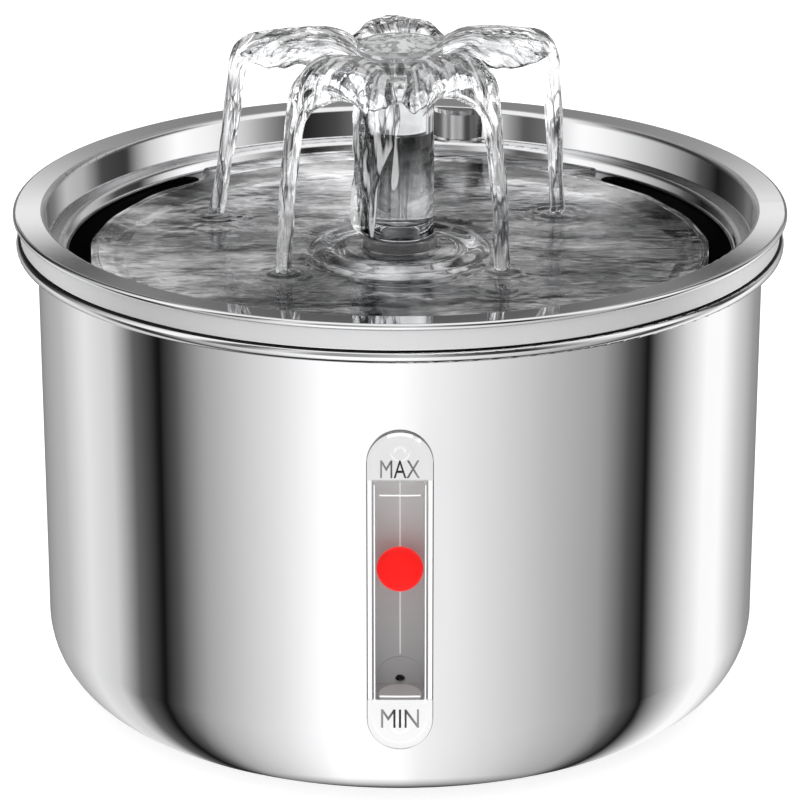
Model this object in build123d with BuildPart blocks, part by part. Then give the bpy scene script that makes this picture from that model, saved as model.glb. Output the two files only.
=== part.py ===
from build123d import *
import os
from math import cos, pi, radians, sin

# A round stainless steel drinking fountain for pets: a deep bowl holds the water, a pump in a
# filter housing lifts it through a clear riser to a flower nozzle, and it falls into a shallow
# tray that drains back into the bowl. Millimetres, +Z up, origin on the table at the bowl's axis.
# The level window is at the front, towards -Y. The pump's shaft lies along Y.

# ---------------------------------------------------------------- shared clearances
steel = 0.8              # sheet of the bowl and of the tray
seat_gap = 0.3           # between a soft or lifted piece and what it rests on
slide_gap = 0.25         # radial, between pieces that slide or turn in each other by hand
running_gap = 0.05       # radial, between a shaft and its bush

# ---------------------------------------------------------------- bowl
bowl_height = 124.8      # top of the rolled lip
bowl_top_radius = 93.9   # outside of the wall under the lip
wall_draft = 0.8         # how much the wall narrows down to the foot
bowl_corner = 22.0       # outside radius between wall and base
lip_reach = 5.4          # from the wall out to the edge of the rolled lip
lip_drop = 3.3           # height of the rolled lip
lip_return = 2.2         # how far the rolled edge turns back inwards
lip_bend = 1.2
base_clearance = 0.3     # steel base above the table
recess_setback = 9.1     # flat ring between the corner and the raised middle of the base
recess_slope = 2.5
recess_depth = 1.9
recess_bend = 1.0
pad_width = 9.0          # anti-slip ring in the recess
pad_setback = 2.0
pad_edge = 0.5

# ---------------------------------------------------------------- level window and float
window_width = 16.4
window_height = 84.0
window_dip = 3.0         # how far the window reaches down into the bend of the corner
window_land = 1.3        # how far the clear face overlaps the steel all round
window_proud = 1.2       # how far it stands out of the steel
window_edge = 0.5
rebate_width = 1.3       # step along both sides of the window, between its ends
rebate_depth = 0.5
rebate_inset = 8.0       # from the window's ends to the step
rebate_corner = 0.6
plug_gap = 0.2           # between the window and the edge of the steel
gasket_thickness = 1.0
gasket_land = 3.2        # how far gasket and chamber flange overlap the steel
chamber_flange = 1.6
chamber_wall = 1.4
float_radius = 5.55
float_gap = 0.4
float_height = 64.5      # centre of the float at rest
channel_foot_inset = 12.5  # from the window's ends to the inside of the float channel
channel_head_inset = 13.5
channel_corner = 0.8
chamber_corner = 2.0
window_pane = 2.1        # thickness of the clear face in front of the float
screw_radius = 1.25
screw_head_radius = 3.4
screw_head_height = 1.7
screw_length = 3.5
screw_inset = 6.0        # from the end of the window to the screw
screw_sink = 0.4         # from the back of the flange to the head's underside
screw_tip_gap = 0.3      # left in front of the screw, in its blind hole
stud_radius = 2.3        # studs of the window that take the screws through the flange
stud_setback = 0.3       # from the back of the flange to the stud's end
inlet_radius = 1.2       # hole that lets the water in at the channel's foot
vent_radius = 1.5
seat_radius = 5.3        # half disc at the channel's foot, with the inlet in its middle
seat_lift = 2.0          # from the channel's floor to the half disc's straight edge
seat_thickness = 0.2

# ---------------------------------------------------------------- tray
tray_rise = 7.2          # top of the tray's flange above the bowl's lip
skirt_inset = 1.1        # from the edge of the bowl's lip in to the skirt that stands on it
rim_overhang = 1.8       # from the skirt out to the rim of the flange
tray_lip_thickness = 1.8
tray_clearance = 1.1     # radial, between the bowl's wall and the tray's
tray_wall_draft = 0.4
flange_fall = 0.25       # the flange slopes inwards
ledge_drop = 8.8         # from the flange down to the ledge
ledge_width = 4.2        # from the upper wall in to the lower wall
drain_drop = 12.0        # from the flange down to the drain ring
drain_ring_width = 8.0
dish_slope = 3.0         # from the drain ring in to the foot of the slope
dish_drop = 18.0         # from the flange down to the middle of the dish
boss_slope = 10.0
boss_top_radius = 14.0
tray_bend = 0.8          # radii of the press's bends, measured on the middle of the steel
skirt_bend = 0.6
rim_bend = 0.45
flange_bend = 0.9
drain_bend = 1.2
dish_bend = 3.0
boss_foot_bend = 4.0
boss_top_bend = 2.5
slot_width = 6.0         # the two curved drain slots
slot_margin = 1.0        # steel left between slot and lower wall
slot_half_angle = 46.0
cable_angle = 80.0       # where the cable passage is, from +X
cable_radius = 7.0       # inside of the passage
cable_setback = 4.4      # from the tray's upper wall out to the passage's axis
cable_notch_width = 8.0
cable_notch_height = 4.2
cable_notch_corner = 1.5

# ---------------------------------------------------------------- riser and its collar
stem_radius = 7.4        # riser below the tray
stem_bore = 5.2
stem_gap = 1.75          # below the stem, to the adapter's step
riser_radius = 8.8       # riser above the tray
riser_bore = 7.0
riser_top = 161.0
riser_floor = 3.6        # thickness of the riser's floor above its shoulder
collar_radius = 9.6
collar_height = 3.4      # above the tray's boss
collar_lower_radius = 10.6
collar_lower_height = 2.6
ring_section = 0.8       # section radius of the riser's O-ring
ring_lift = 5.5          # from the stem's foot to the O-ring
soft_edge = 0.6          # rounding of collar, riser and dial

# ---------------------------------------------------------------- flower nozzle
nozzle_plug_depth = 9.0
nozzle_wall = 1.9
nozzle_collar = 1.0
nozzle_neck_radius = 6.6
nozzle_neck_height = 4.5
nozzle_cone_height = 5.4
nozzle_disc_radius = 11.0
nozzle_disc_thickness = 2.2
nozzle_recess = 1.3
nozzle_rim = 1.3
petal_count = 5
petal_first_angle = 90.0
petal_port_width = 4.2
petal_port_height = 3.4
petal_sill = 0.7         # collar to the port's lower edge
spout_length = 2.4       # lip under each port
spout_thickness = 0.7
port_corner = 1.0
disc_edge = 0.7
bubble_bore = 1.6
cap_thickness = 1.0
cap_button_radius = 3.4
cap_button_height = 1.6
cap_slot_count = 10
cap_slot_width = 1.1

# ---------------------------------------------------------------- filter housing
housing_radius = 44.0
housing_wall = 1.8
housing_floor = 1.8
housing_split = 40.0     # where the lid meets the base
housing_edge = 1.5
cup_height = 5.0         # suction cups between bowl and housing
cup_radius = 8.0
cup_wall = 0.9
cup_neck_flare = 1.4     # neck of the cup beyond the peg
cup_peg = 2.0
cup_head = 1.0           # height of the peg's head, and how far it stands out
cup_setback = 0.9        # between the peg's head and the foam
rib_length = 8.0         # ribs beside the pump
rib_height = 9.0
rib_setback = 1.5
window_slot_width = 3.0
window_slot_land = 2.6   # between the slots and the lid's lip
window_slot_count = 28
cable_gate = 7.0         # opening in the housing for the pump's cable
cable_gate_depth = 14.0
lid_lip = 4.0            # lid's lip inside the base
lid_lip_thickness = 1.2
lug_count = 3
lug_depth = 0.7
lug_height = 1.8
lug_width = 6.0
lug_lift = 0.6           # from the lip's foot to the lug
lug_first_angle = 30.0
lock_angle = 20.0        # turn that frees the lid
lid_plate = 57.0         # underside of the grid that carries the cartridge
lid_plate_thickness = 1.8
lid_depth = 19.0         # from the grid's underside up to the rim
lid_ledge = 1.6          # ledge under the grid
sleeve_wall = 1.8
grid_slot_count = 24
grid_slot_width = 2.4
grid_slot_land = 4.35    # grid left beyond the ends of its slots

# ---------------------------------------------------------------- filter cartridge and foam
cartridge_gap = 0.8
cartridge_height = 20.0
cartridge_wall = 1.3
cartridge_grid = 1.5
cartridge_slot_count = 24
cartridge_slot_width = 2.2
cartridge_slot_land = 4.55
media_edge = 1.0
foam_thickness = 7.0
foam_arc = 236.0

# ---------------------------------------------------------------- pump
foot_height = 1.5        # rubber feet between housing and pump
foot_radius = 3.0
foot_inset_x = 6.0       # from the motor's sides to the feet
foot_inset_y = 5.0
motor_width = 40.0
motor_height = 38.0
motor_front = 7.0        # along Y
motor_setback = 3.2      # between the cable gland and the housing
motor_corner = 4.0
motor_wall = 2.2
chamber_front = -7.0     # impeller chamber along Y
chamber_radius = 11.5
chamber_shell = 1.2
well_radius = 8.6
well_wall = 1.2
well_setback = 3.4       # from the well's inner end to the motor's back
cavity_front = 12.0
outlet_radius = 6.0
outlet_bore = 4.2
outlet_boss = 1.0        # boss on the chamber that carries the outlet
outlet_top = 58.0
back_cover_thickness = 1.8
magnet_radius = 8.0
magnet_front = 8.5
magnet_gap = 0.6         # between the magnet and the rear bush
shaft_radius = 1.1
bush_radius = 3.0
bush_length = 2.0
bush_sink = 1.0          # how far the cover's collar stands into the chamber
bush_collar = 1.2        # wall of the cover's collar round the front bush
port_setback = 1.6       # from the front bush out to the intake ports
impeller_radius = 9.4
vane_count = 6
vane_thickness = 1.1
vane_front = -4.6
disc_back = 5.8
disc_thickness = 1.0
vane_setback = 0.1       # from the disc's edge in to the vanes' tips
vane_root = 0.5          # how far the vanes reach into the hub
hub_radius = 3.4
cover_thickness = 2.4
intake_radius = 6.6
grille_depth = 9.0
grille_wall = 1.2
grille_slot_count = 14
grille_slot_width = 1.6
grille_slot_land = 3.5   # grille left beyond both ends of its slots
grille_edge = 1.5
dial_radius = 7.4
dial_thickness = 2.3
dial_grip = 1.4          # width and height of the finger bar
dial_stem = 1.9
shutter_radius = 6.9
shutter_thickness = 1.0
port_angles = (0, 180)   # where the intake ports start
port_arc = 80
port_margin = 5
core_front = 15.0
core_leg_outer = 17.0
core_pole_gap = 0.4
core_yoke_height = 5.5
core_top_gap = 3.2
coil_build = 2.6
coil_setback = 3.6       # from the coil to the back cover
coil_half_length = 8.4
coil_corner = 2.4
gland_radius = 4.5
gland_bore = 2.3
gland_neck_wall = 1.1
gland_length = 6.0
adapter_radius = 9.2
adapter_socket = 8.0     # how far the adapter reaches down over the outlet
adapter_step = 2.5
adapter_hold = 15.5      # how deep the riser's stem stands in the adapter
adapter_edge = 0.8

# ---------------------------------------------------------------- derived places
half = steel / 2
bowl_foot_radius = bowl_top_radius - wall_draft
lip_radius = bowl_top_radius + lip_reach
recess_radius = bowl_foot_radius - bowl_corner - recess_setback
recess_top = base_clearance + recess_depth + steel
wall_foot_z = base_clearance
wall_top_z = bowl_height
skirt_radius = lip_radius - skirt_inset
tray_rim_radius = skirt_radius + rim_overhang
tray_wall_radius = bowl_top_radius - 2 * steel - tray_clearance
ledge_radius = tray_wall_radius - ledge_width
drain_ring_inner = ledge_radius - drain_ring_width
dish_radius = drain_ring_inner - dish_slope
boss_foot_radius = boss_top_radius + boss_slope
cable_reach = tray_wall_radius + cable_setback
tray_top = bowl_height + tray_rise
ledge_z = tray_top - ledge_drop
drain_z = tray_top - drain_drop
dish_z = tray_top - dish_drop
tray_outer_wall = tray_wall_radius + steel
collar_top = drain_z + collar_height
shoulder_z = collar_top + seat_gap
riser_bore_floor = shoulder_z + riser_floor
window_foot = bowl_corner - window_dip
window_middle = window_foot + window_height / 2
channel_foot = window_foot + channel_foot_inset
channel_height = window_height - channel_foot_inset - channel_head_inset
opening_width = window_width - 2 * window_land
opening_height = window_height - 2 * window_land
housing_base_z = recess_top + cup_height
housing_floor_z = housing_base_z + housing_floor
housing_bore = housing_radius - housing_wall
foam_inner = housing_bore - seat_gap - foam_thickness
cup_head_radius = cup_peg + cup_head
cup_ring = foam_inner - cup_head_radius - cup_setback
motor_back = housing_bore - gland_length - motor_setback
well_end = motor_back - well_setback
magnet_back = well_end - bush_length - magnet_gap
core_thickness = motor_back - back_cover_thickness - coil_setback - coil_build - core_front
pump_z = housing_floor_z + foot_height
shaft_z = pump_z + chamber_radius + chamber_shell
motor_top = pump_z + motor_height
outlet_foot = shaft_z + chamber_radius + chamber_shell + outlet_boss
lid_rim = lid_plate + lid_depth
adapter_foot = outlet_top - adapter_socket
adapter_step_z = outlet_top + slide_gap
stem_foot = adapter_step_z + adapter_step + stem_gap
adapter_top = stem_foot + adapter_hold
ring_height = stem_foot + ring_lift
sleeve_bore = adapter_radius + 2 * slide_gap
sleeve_radius = sleeve_bore + sleeve_wall
nozzle_flange_z = riser_top + seat_gap
neck_foot_z = nozzle_flange_z + nozzle_collar
cone_foot_z = neck_foot_z + nozzle_neck_height
disc_foot_z = cone_foot_z + nozzle_cone_height
disc_top_z = disc_foot_z + nozzle_disc_thickness
cover_front = chamber_front - cover_thickness
grille_front = cover_front - grille_depth
tray_hole_radius = stem_radius + steel
collar_bore = stem_radius + slide_gap
ring_radius = stem_radius + slide_gap - running_gap - ring_section
nozzle_bore = nozzle_neck_radius - nozzle_wall
cap_radius = nozzle_disc_radius - nozzle_rim - running_gap
cap_z = disc_top_z - nozzle_recess
cup_neck_radius = cup_peg + cup_neck_flare
cup_side = cup_ring * sin(pi / 4)
cup_places = [(x * cup_side, y * cup_side) for x in (-1, 1) for y in (-1, 1)]
rib_middle = motor_front + rib_setback + rib_length / 2
foam_height = housing_split - lid_lip - housing_floor_z - 2 * seat_gap
window_slot_foot = housing_floor_z + 2 * housing_wall
window_slot_height = housing_split - lid_lip - window_slot_land - window_slot_foot
lug_angles = [lug_first_angle + number * 360 / lug_count for number in range(lug_count)]
lip_radius_outer = housing_bore - slide_gap
lip_radius_inner = lip_radius_outer - lid_lip_thickness
lug_radius = housing_bore + lug_depth
lug_z = housing_split - lid_lip + lug_lift
lug_half = lug_width / 2 / housing_bore * 180 / pi
track_half = (lug_width / 2 + 2 * slide_gap) / housing_bore * 180 / pi
cartridge_z = lid_plate + lid_plate_thickness + seat_gap
cartridge_radius = housing_bore - cartridge_gap
cartridge_bore = sleeve_radius + cartridge_gap
core_radius = cartridge_bore + cartridge_wall
cartridge_slot_length = cartridge_radius - cartridge_bore - 2 * cartridge_slot_land
grid_radius = housing_bore - running_gap
grid_slot_length = housing_bore - sleeve_radius - 2 * grid_slot_land
motor_middle_z = pump_z + motor_height / 2
cavity_width = motor_width - 2 * motor_wall
cavity_height = motor_height - 2 * motor_wall
foot_side = motor_width / 2 - foot_inset_x
foot_places = [(x, y) for x in (-foot_side, foot_side) for y in (motor_front + foot_inset_y, motor_back - foot_inset_y)]
gland_neck_radius = gland_bore + gland_neck_wall
core_top_z = motor_top - motor_wall - core_top_gap
core_yoke_z = core_top_z - core_yoke_height
core_leg_inner = core_leg_outer - core_yoke_height
core_foot_z = shaft_z - well_radius
grille_slot_length = grille_depth - grille_slot_land
front_bush_back = chamber_front + bush_sink


def wall_radius(z):
    """Outside radius of the bowl's wall at a height."""
    share = (z - wall_foot_z) / (wall_top_z - wall_foot_z)
    return bowl_foot_radius + (bowl_top_radius - bowl_foot_radius) * share


def wall_band(inner, outer):
    """Corners of a band that follows the bowl's wall, given as offsets from its outside."""
    return [
        (wall_radius(wall_foot_z) + inner, wall_foot_z),
        (wall_radius(wall_foot_z) + outer, wall_foot_z),
        (wall_radius(wall_top_z) + outer, wall_top_z),
        (wall_radius(wall_top_z) + inner, wall_top_z),
    ]


def radial_plane(angle, z):
    """Plane on the axis that looks outwards at an angle, with its y along +Z."""
    out = (cos(radians(angle)), sin(radians(angle)), 0)
    along = (-sin(radians(angle)), cos(radians(angle)), 0)
    return Plane(origin=(0, 0, z), x_dir=along, z_dir=out)


def side_plane(turn):
    """Plane on the pump's shaft, midway along the intake grille, that looks outwards."""
    out = (cos(radians(turn)), 0, sin(radians(turn)))
    return Plane(origin=(0, cover_front - grille_depth / 2, shaft_z), x_dir=(0, 1, 0), z_dir=out)


def ring_sector(inner, outer, start, span, middle=(0, 0)):
    """Flat sector between two radii."""
    with BuildSketch(mode=Mode.PRIVATE) as sector:
        with BuildLine():
            inside = CenterArc(middle, inner, start, span)
            outside = CenterArc(middle, outer, start, span)
            Line(inside @ 0, outside @ 0)
            Line(inside @ 1, outside @ 1)
        make_face()
    return sector.sketch


def across_y(y):
    """Plane square to the pump's shaft at a place along Y, looking towards the front."""
    return Plane.XZ.offset(-y)


petal_places = [
    radial_plane(petal_first_angle + number * 360 / petal_count, neck_foot_z + petal_sill)
    for number in range(petal_count)
]

# ================================================================ bowl
with BuildPart() as bowl:
    with BuildSketch(Plane.XZ):
        with BuildLine():
            FilletPolyline(
                (0, recess_top - half),
                (recess_radius, recess_top - half),
                (recess_radius + recess_slope, base_clearance + half),
                (bowl_foot_radius - half, base_clearance + half),
                (bowl_top_radius - half, bowl_height - half),
                (lip_radius - half, bowl_height - half),
                (lip_radius - half, bowl_height - lip_drop + half),
                (lip_radius - half - lip_return, bowl_height - lip_drop + half),
                radius=[recess_bend, recess_bend, bowl_corner - half, lip_bend, lip_bend, lip_bend],
            )
        trace(line_width=steel)
    revolve(axis=Axis.Z)
    with BuildSketch(Plane.XZ.offset(bowl_foot_radius / 2)):
        with Locations((0, window_middle)):
            SlotOverall(opening_height, opening_width, rotation=90)
    extrude(amount=bowl_top_radius, mode=Mode.SUBTRACT)
bowl.part.label = "bowl"

# Silicone ring under the base. It stands in the recess and carries the fountain.
with BuildPart() as anti_slip_ring:
    with BuildSketch(Plane.XY):
        Circle(recess_radius - pad_setback)
        Circle(recess_radius - pad_setback - pad_width, mode=Mode.SUBTRACT)
    extrude(amount=recess_top - steel)
    chamfer(anti_slip_ring.faces().sort_by(Axis.Z)[0].edges(), pad_edge)
anti_slip_ring.part.label = "anti_slip_ring"

# ================================================================ level window
window_mid_radius = wall_radius(window_middle)
plug_front = window_mid_radius + window_proud / 2
inner_face = window_mid_radius - steel
plug_back = wall_radius(window_foot + window_height) - steel - gasket_thickness + plug_gap
pane_back = window_mid_radius + window_proud - window_pane
plug_width = opening_width - 2 * plug_gap
plug_height = opening_height - 2 * plug_gap
channel_width = 2 * (float_radius + float_gap)
channel_back = pane_back - 2 * (float_radius + float_gap)
channel_middle = channel_foot + channel_height / 2
screw_places = [(0, window_foot + screw_inset), (0, window_foot + window_height - screw_inset)]
flange_width = opening_width + 2 * gasket_land
flange_height = opening_height + 2 * gasket_land
flange_back = inner_face - gasket_thickness - chamber_flange
stud_back = flange_back + stud_setback
stud_bore_depth = screw_length - screw_sink - stud_setback + screw_tip_gap

with BuildPart() as window_lens:
    with BuildSketch(Plane.XZ.offset(bowl_foot_radius / 2)):
        with Locations((0, window_middle)):
            SlotOverall(window_height, window_width, rotation=90)
    extrude(amount=bowl_top_radius)
    with BuildSketch(Plane.XZ):
        Polygon(*wall_band(0, window_proud), align=None)
    revolve(axis=Axis.Z, mode=Mode.INTERSECT)
    fillet(window_lens.faces().sort_by(Axis.Y)[0].edges(), window_edge)
    add(bowl.part, mode=Mode.SUBTRACT)
    with BuildSketch(Plane.XZ.offset(plug_back)):
        with Locations((0, window_middle)):
            SlotOverall(plug_height, plug_width, rotation=90)
    extrude(amount=plug_front - plug_back)
    with BuildSketch(Plane.XZ.offset(stud_back)):
        with Locations(*screw_places):
            Circle(stud_radius)
    extrude(amount=plug_front - stud_back)
    # the pane in front of the float is thinner than the ends that take the screws
    with BuildSketch(Plane.XZ.offset(pane_back)):
        with Locations((0, channel_middle)):
            RectangleRounded(channel_width, channel_height, channel_corner)
    extrude(amount=plug_back - pane_back, mode=Mode.SUBTRACT)
    with BuildSketch(Plane.XZ.offset(stud_back)):
        with Locations(*screw_places):
            Circle(screw_radius + running_gap)
    extrude(amount=stud_bore_depth, mode=Mode.SUBTRACT)
    # the pane is stepped along both sides, between the two ends
    with BuildPart(mode=Mode.PRIVATE) as rebates:
        with BuildSketch(Plane.XZ.offset(bowl_foot_radius / 2)):
            with Locations((-window_width / 2, window_middle), (window_width / 2, window_middle)):
                RectangleRounded(2 * rebate_width, window_height - 2 * rebate_inset, rebate_corner)
        extrude(amount=bowl_top_radius)
        with BuildSketch(Plane.XZ):
            Polygon(*wall_band(window_proud - rebate_depth, 2 * window_proud), align=None)
        revolve(axis=Axis.Z, mode=Mode.INTERSECT)
    add(rebates.part, mode=Mode.SUBTRACT)
window_lens.part.label = "window_lens"

with BuildPart() as window_gasket:
    with BuildSketch(Plane.XZ.offset(bowl_foot_radius / 2)):
        with Locations((0, window_middle)):
            SlotOverall(flange_height, flange_width, rotation=90)
            SlotOverall(opening_height, opening_width, rotation=90, mode=Mode.SUBTRACT)
    extrude(amount=bowl_top_radius)
    with BuildSketch(Plane.XZ):
        Polygon(*wall_band(-steel - gasket_thickness, -steel - running_gap), align=None)
    revolve(axis=Axis.Z, mode=Mode.INTERSECT)
    add(bowl.part, mode=Mode.SUBTRACT)
window_gasket.part.label = "window_gasket"

# Chamber behind the steel: its flange presses the gasket, its channel guides the float.
with BuildPart() as gauge_chamber:
    with BuildSketch(Plane.XZ.offset(bowl_foot_radius / 2)):
        with Locations((0, window_middle)):
            SlotOverall(flange_height, flange_width, rotation=90)
    extrude(amount=bowl_top_radius)
    with BuildSketch(Plane.XZ):
        Polygon(*wall_band(-steel - gasket_thickness - chamber_flange, -steel - gasket_thickness), align=None)
    revolve(axis=Axis.Z, mode=Mode.INTERSECT)
    with BuildSketch(Plane.XZ.offset(channel_back - chamber_wall)):
        with Locations((0, channel_middle)):
            RectangleRounded(channel_width + 2 * chamber_wall, channel_height + 2 * chamber_wall, chamber_corner)
    extrude(amount=flange_back + chamber_flange / 2 - channel_back + chamber_wall)
    with BuildSketch(Plane.XZ.offset(channel_back)):
        with Locations((0, channel_middle)):
            Rectangle(channel_width, channel_height)
    extrude(amount=bowl_top_radius - channel_back, mode=Mode.SUBTRACT)
    with BuildSketch(Plane.XZ.offset(bowl_foot_radius / 2)):
        with Locations(*screw_places):
            Circle(stud_radius + plug_gap)
    extrude(amount=bowl_top_radius, mode=Mode.SUBTRACT)
    # a half disc at the channel's foot, with the hole that lets the water in
    with BuildSketch(Plane.XZ.offset(channel_back)):
        with Locations((0, channel_foot + seat_lift)):
            Circle(seat_radius)
        with Locations((0, channel_foot + seat_lift - seat_radius)):
            Rectangle(2 * seat_radius, 2 * seat_radius, mode=Mode.SUBTRACT)
        with Locations((0, channel_foot + seat_lift / 2)):
            Rectangle(2 * seat_radius, seat_lift)
    extrude(amount=seat_thickness)
    with BuildSketch(Plane.XZ.offset(channel_back - chamber_wall)):
        with Locations((0, channel_foot + inlet_radius)):
            Circle(inlet_radius)
    extrude(amount=chamber_wall + seat_thickness, mode=Mode.SUBTRACT)
    # air leaves at the channel's top
    with Locations((0, -(channel_back + float_radius), channel_foot + channel_height)):
        Cylinder(vent_radius, 4 * chamber_wall, mode=Mode.SUBTRACT)
gauge_chamber.part.label = "gauge_chamber"

with BuildPart() as gauge_screws:
    with BuildSketch(Plane.XZ.offset(flange_back - screw_sink)):
        with Locations(*screw_places):
            Circle(screw_radius)
    extrude(amount=screw_length)
    with BuildSketch(Plane.XZ.offset(flange_back - screw_sink - screw_head_height)):
        with Locations(*screw_places):
            Circle(screw_head_radius)
    extrude(amount=screw_head_height)
gauge_screws.part.label = "gauge_screws"

with BuildPart() as float_ball:
    with Locations((0, -(pane_back - float_gap - float_radius), float_height)):
        Sphere(float_radius)
float_ball.part.label = "float_ball"

# ================================================================ tray
with BuildPart() as tray:
    with BuildSketch(Plane.XZ):
        with BuildLine():
            FilletPolyline(
                (skirt_radius - half, bowl_height),
                (skirt_radius - half, tray_top - tray_lip_thickness + half),
                (tray_rim_radius - half, tray_top - tray_lip_thickness + half),
                (tray_rim_radius - half, tray_top - half),
                (tray_wall_radius + tray_wall_draft + half, tray_top - half - flange_fall),
                (tray_wall_radius + half, ledge_z - half),
                (ledge_radius + half, ledge_z - half),
                (ledge_radius + half, drain_z - half),
                (drain_ring_inner, drain_z - half),
                (dish_radius, dish_z - half),
                (boss_foot_radius, dish_z - half),
                (boss_top_radius, drain_z - half),
                (tray_hole_radius, drain_z - half),
                radius=[
                    skirt_bend, rim_bend, rim_bend, flange_bend, tray_bend, tray_bend, tray_bend,
                    drain_bend, dish_bend, boss_foot_bend, boss_top_bend,
                ],
            )
        trace(line_width=steel)
    revolve(axis=Axis.Z)
    # drain slots at the left and the right
    slot_middle = ledge_radius - slot_margin - slot_width / 2
    with BuildSketch(Plane.XY.offset(drain_z - 2 * steel)):
        for side in (0, 180):
            slot_line = CenterArc((0, 0), slot_middle, side - slot_half_angle, 2 * slot_half_angle, mode=Mode.PRIVATE)
            SlotArc(slot_line, slot_width)
    extrude(amount=3 * steel, mode=Mode.SUBTRACT)
    # the cable passage pushes the wall inwards and opens the ledge and the skirt
    cable_place = (cable_reach * cos(radians(cable_angle)), cable_reach * sin(radians(cable_angle)))
    passage_roof = tray_top - flange_fall - steel
    with BuildSketch(Plane.XY.offset(ledge_z - 1.5 * steel)):
        with Locations(cable_place):
            Circle(cable_radius)
        Circle(tray_outer_wall + steel, mode=Mode.INTERSECT)
    extrude(amount=passage_roof - ledge_z + 1.5 * steel, mode=Mode.SUBTRACT)
    with BuildSketch(Plane.XY.offset(ledge_z - half)):
        with Locations(cable_place):
            Circle(cable_radius + steel)
            Circle(cable_radius, mode=Mode.SUBTRACT)
        Circle(tray_wall_radius + half, mode=Mode.INTERSECT)
    extrude(amount=passage_roof - ledge_z + steel)
    with BuildSketch(Plane.XY.offset(passage_roof)):
        with Locations(cable_place):
            Circle(cable_radius + steel)
        Circle(tray_wall_radius + steel, mode=Mode.INTERSECT)
    extrude(amount=steel)
    with BuildSketch(radial_plane(cable_angle, bowl_height).offset(skirt_radius - 3 * steel)):
        with Locations((0, cable_notch_height / 2 - steel)):
            RectangleRounded(cable_notch_width, cable_notch_height + 2 * steel, cable_notch_corner)
    extrude(amount=3.5 * steel, mode=Mode.SUBTRACT)
tray.part.label = "tray"

# Soft collar that grips the edge of the tray's middle hole and carries the riser.
with BuildPart() as tray_collar:
    with BuildSketch(Plane.XZ):
        with BuildLine():
            Polyline(
                (collar_bore, drain_z - steel - collar_lower_height),
                (collar_lower_radius, drain_z - steel - collar_lower_height),
                (collar_lower_radius, drain_z - steel),
                (tray_hole_radius, drain_z - steel),
                (tray_hole_radius, drain_z),
                (collar_radius, drain_z),
                (collar_radius, collar_top),
                (collar_bore, collar_top),
                close=True,
            )
        make_face()
    revolve(axis=Axis.Z)
    fillet(tray_collar.edges().filter_by(GeomType.CIRCLE).group_by(Axis.Z)[-1].sort_by(SortBy.RADIUS)[-1], soft_edge)
tray_collar.part.label = "tray_collar"

# ================================================================ riser
with BuildPart() as riser_tube:
    with BuildSketch(Plane.XZ):
        with BuildLine():
            Polyline(
                (stem_bore, stem_foot),
                (stem_radius, stem_foot),
                (stem_radius, shoulder_z),
                (riser_radius, shoulder_z),
                (riser_radius, riser_top),
                (riser_bore, riser_top),
                (riser_bore, riser_bore_floor),
                (stem_bore, riser_bore_floor),
                close=True,
            )
        make_face()
        with Locations((ring_radius, ring_height)):
            Rectangle(2 * ring_section, 2 * ring_section + slide_gap, mode=Mode.SUBTRACT)
            with Locations((ring_section, 0)):
                Rectangle(2 * ring_section, 2 * ring_section + slide_gap, mode=Mode.SUBTRACT)
    revolve(axis=Axis.Z)
    fillet(riser_tube.edges().filter_by(GeomType.CIRCLE).filter_by(lambda e: e.radius == riser_radius), soft_edge)
    chamfer(riser_tube.edges().group_by(Axis.Z)[0].sort_by(SortBy.RADIUS)[-1], soft_edge)
riser_tube.part.label = "riser_tube"

with BuildPart() as riser_ring:
    with BuildSketch(Plane.XZ):
        with Locations((ring_radius, ring_height)):
            Circle(ring_section)
    revolve(axis=Axis.Z)
riser_ring.part.label = "riser_ring"

# ================================================================ flower nozzle
# A flared disc on a short neck: five ports under the disc throw the five petals of water.
with BuildPart() as flower_nozzle:
    with BuildSketch(Plane.XZ):
        with BuildLine():
            Polyline(
                (nozzle_bore, riser_top - nozzle_plug_depth),
                (riser_bore - slide_gap, riser_top - nozzle_plug_depth),
                (riser_bore - slide_gap, nozzle_flange_z),
                (riser_radius, nozzle_flange_z),
                (riser_radius, neck_foot_z),
                (nozzle_neck_radius, neck_foot_z),
                (nozzle_neck_radius, cone_foot_z),
            )
            flare = Spline(
                (nozzle_neck_radius, cone_foot_z),
                (nozzle_disc_radius, disc_foot_z),
                tangents=[(0.35, 1), (1, 0.45)],
            )
            Polyline(
                flare @ 1,
                (nozzle_disc_radius, disc_top_z),
                (nozzle_disc_radius - nozzle_rim, disc_top_z),
                (nozzle_disc_radius - nozzle_rim, disc_top_z - nozzle_recess),
                (bubble_bore, disc_top_z - nozzle_recess),
                (bubble_bore, cone_foot_z),
                (nozzle_bore, cone_foot_z - nozzle_bore + bubble_bore),
                (nozzle_bore, riser_top - nozzle_plug_depth),
            )
        make_face()
    revolve(axis=Axis.Z)
    fillet(flower_nozzle.edges().filter_by(lambda e: e.geom_type == GeomType.CIRCLE and e.radius == nozzle_disc_radius), disc_edge)
    for place in petal_places:
        with BuildSketch(place.offset(nozzle_neck_radius - nozzle_wall / 2)):
            with Locations((0, -spout_thickness / 2)):
                Rectangle(petal_port_width + 2 * spout_thickness, spout_thickness)
        extrude(amount=spout_length + nozzle_wall / 2)
    for place in petal_places:
        with BuildSketch(place.offset(nozzle_bore / 2)):
            with Locations((0, petal_port_height / 2)):
                RectangleRounded(petal_port_width, petal_port_height, port_corner)
        extrude(amount=nozzle_disc_radius, mode=Mode.SUBTRACT)
flower_nozzle.part.label = "flower_nozzle"

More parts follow.
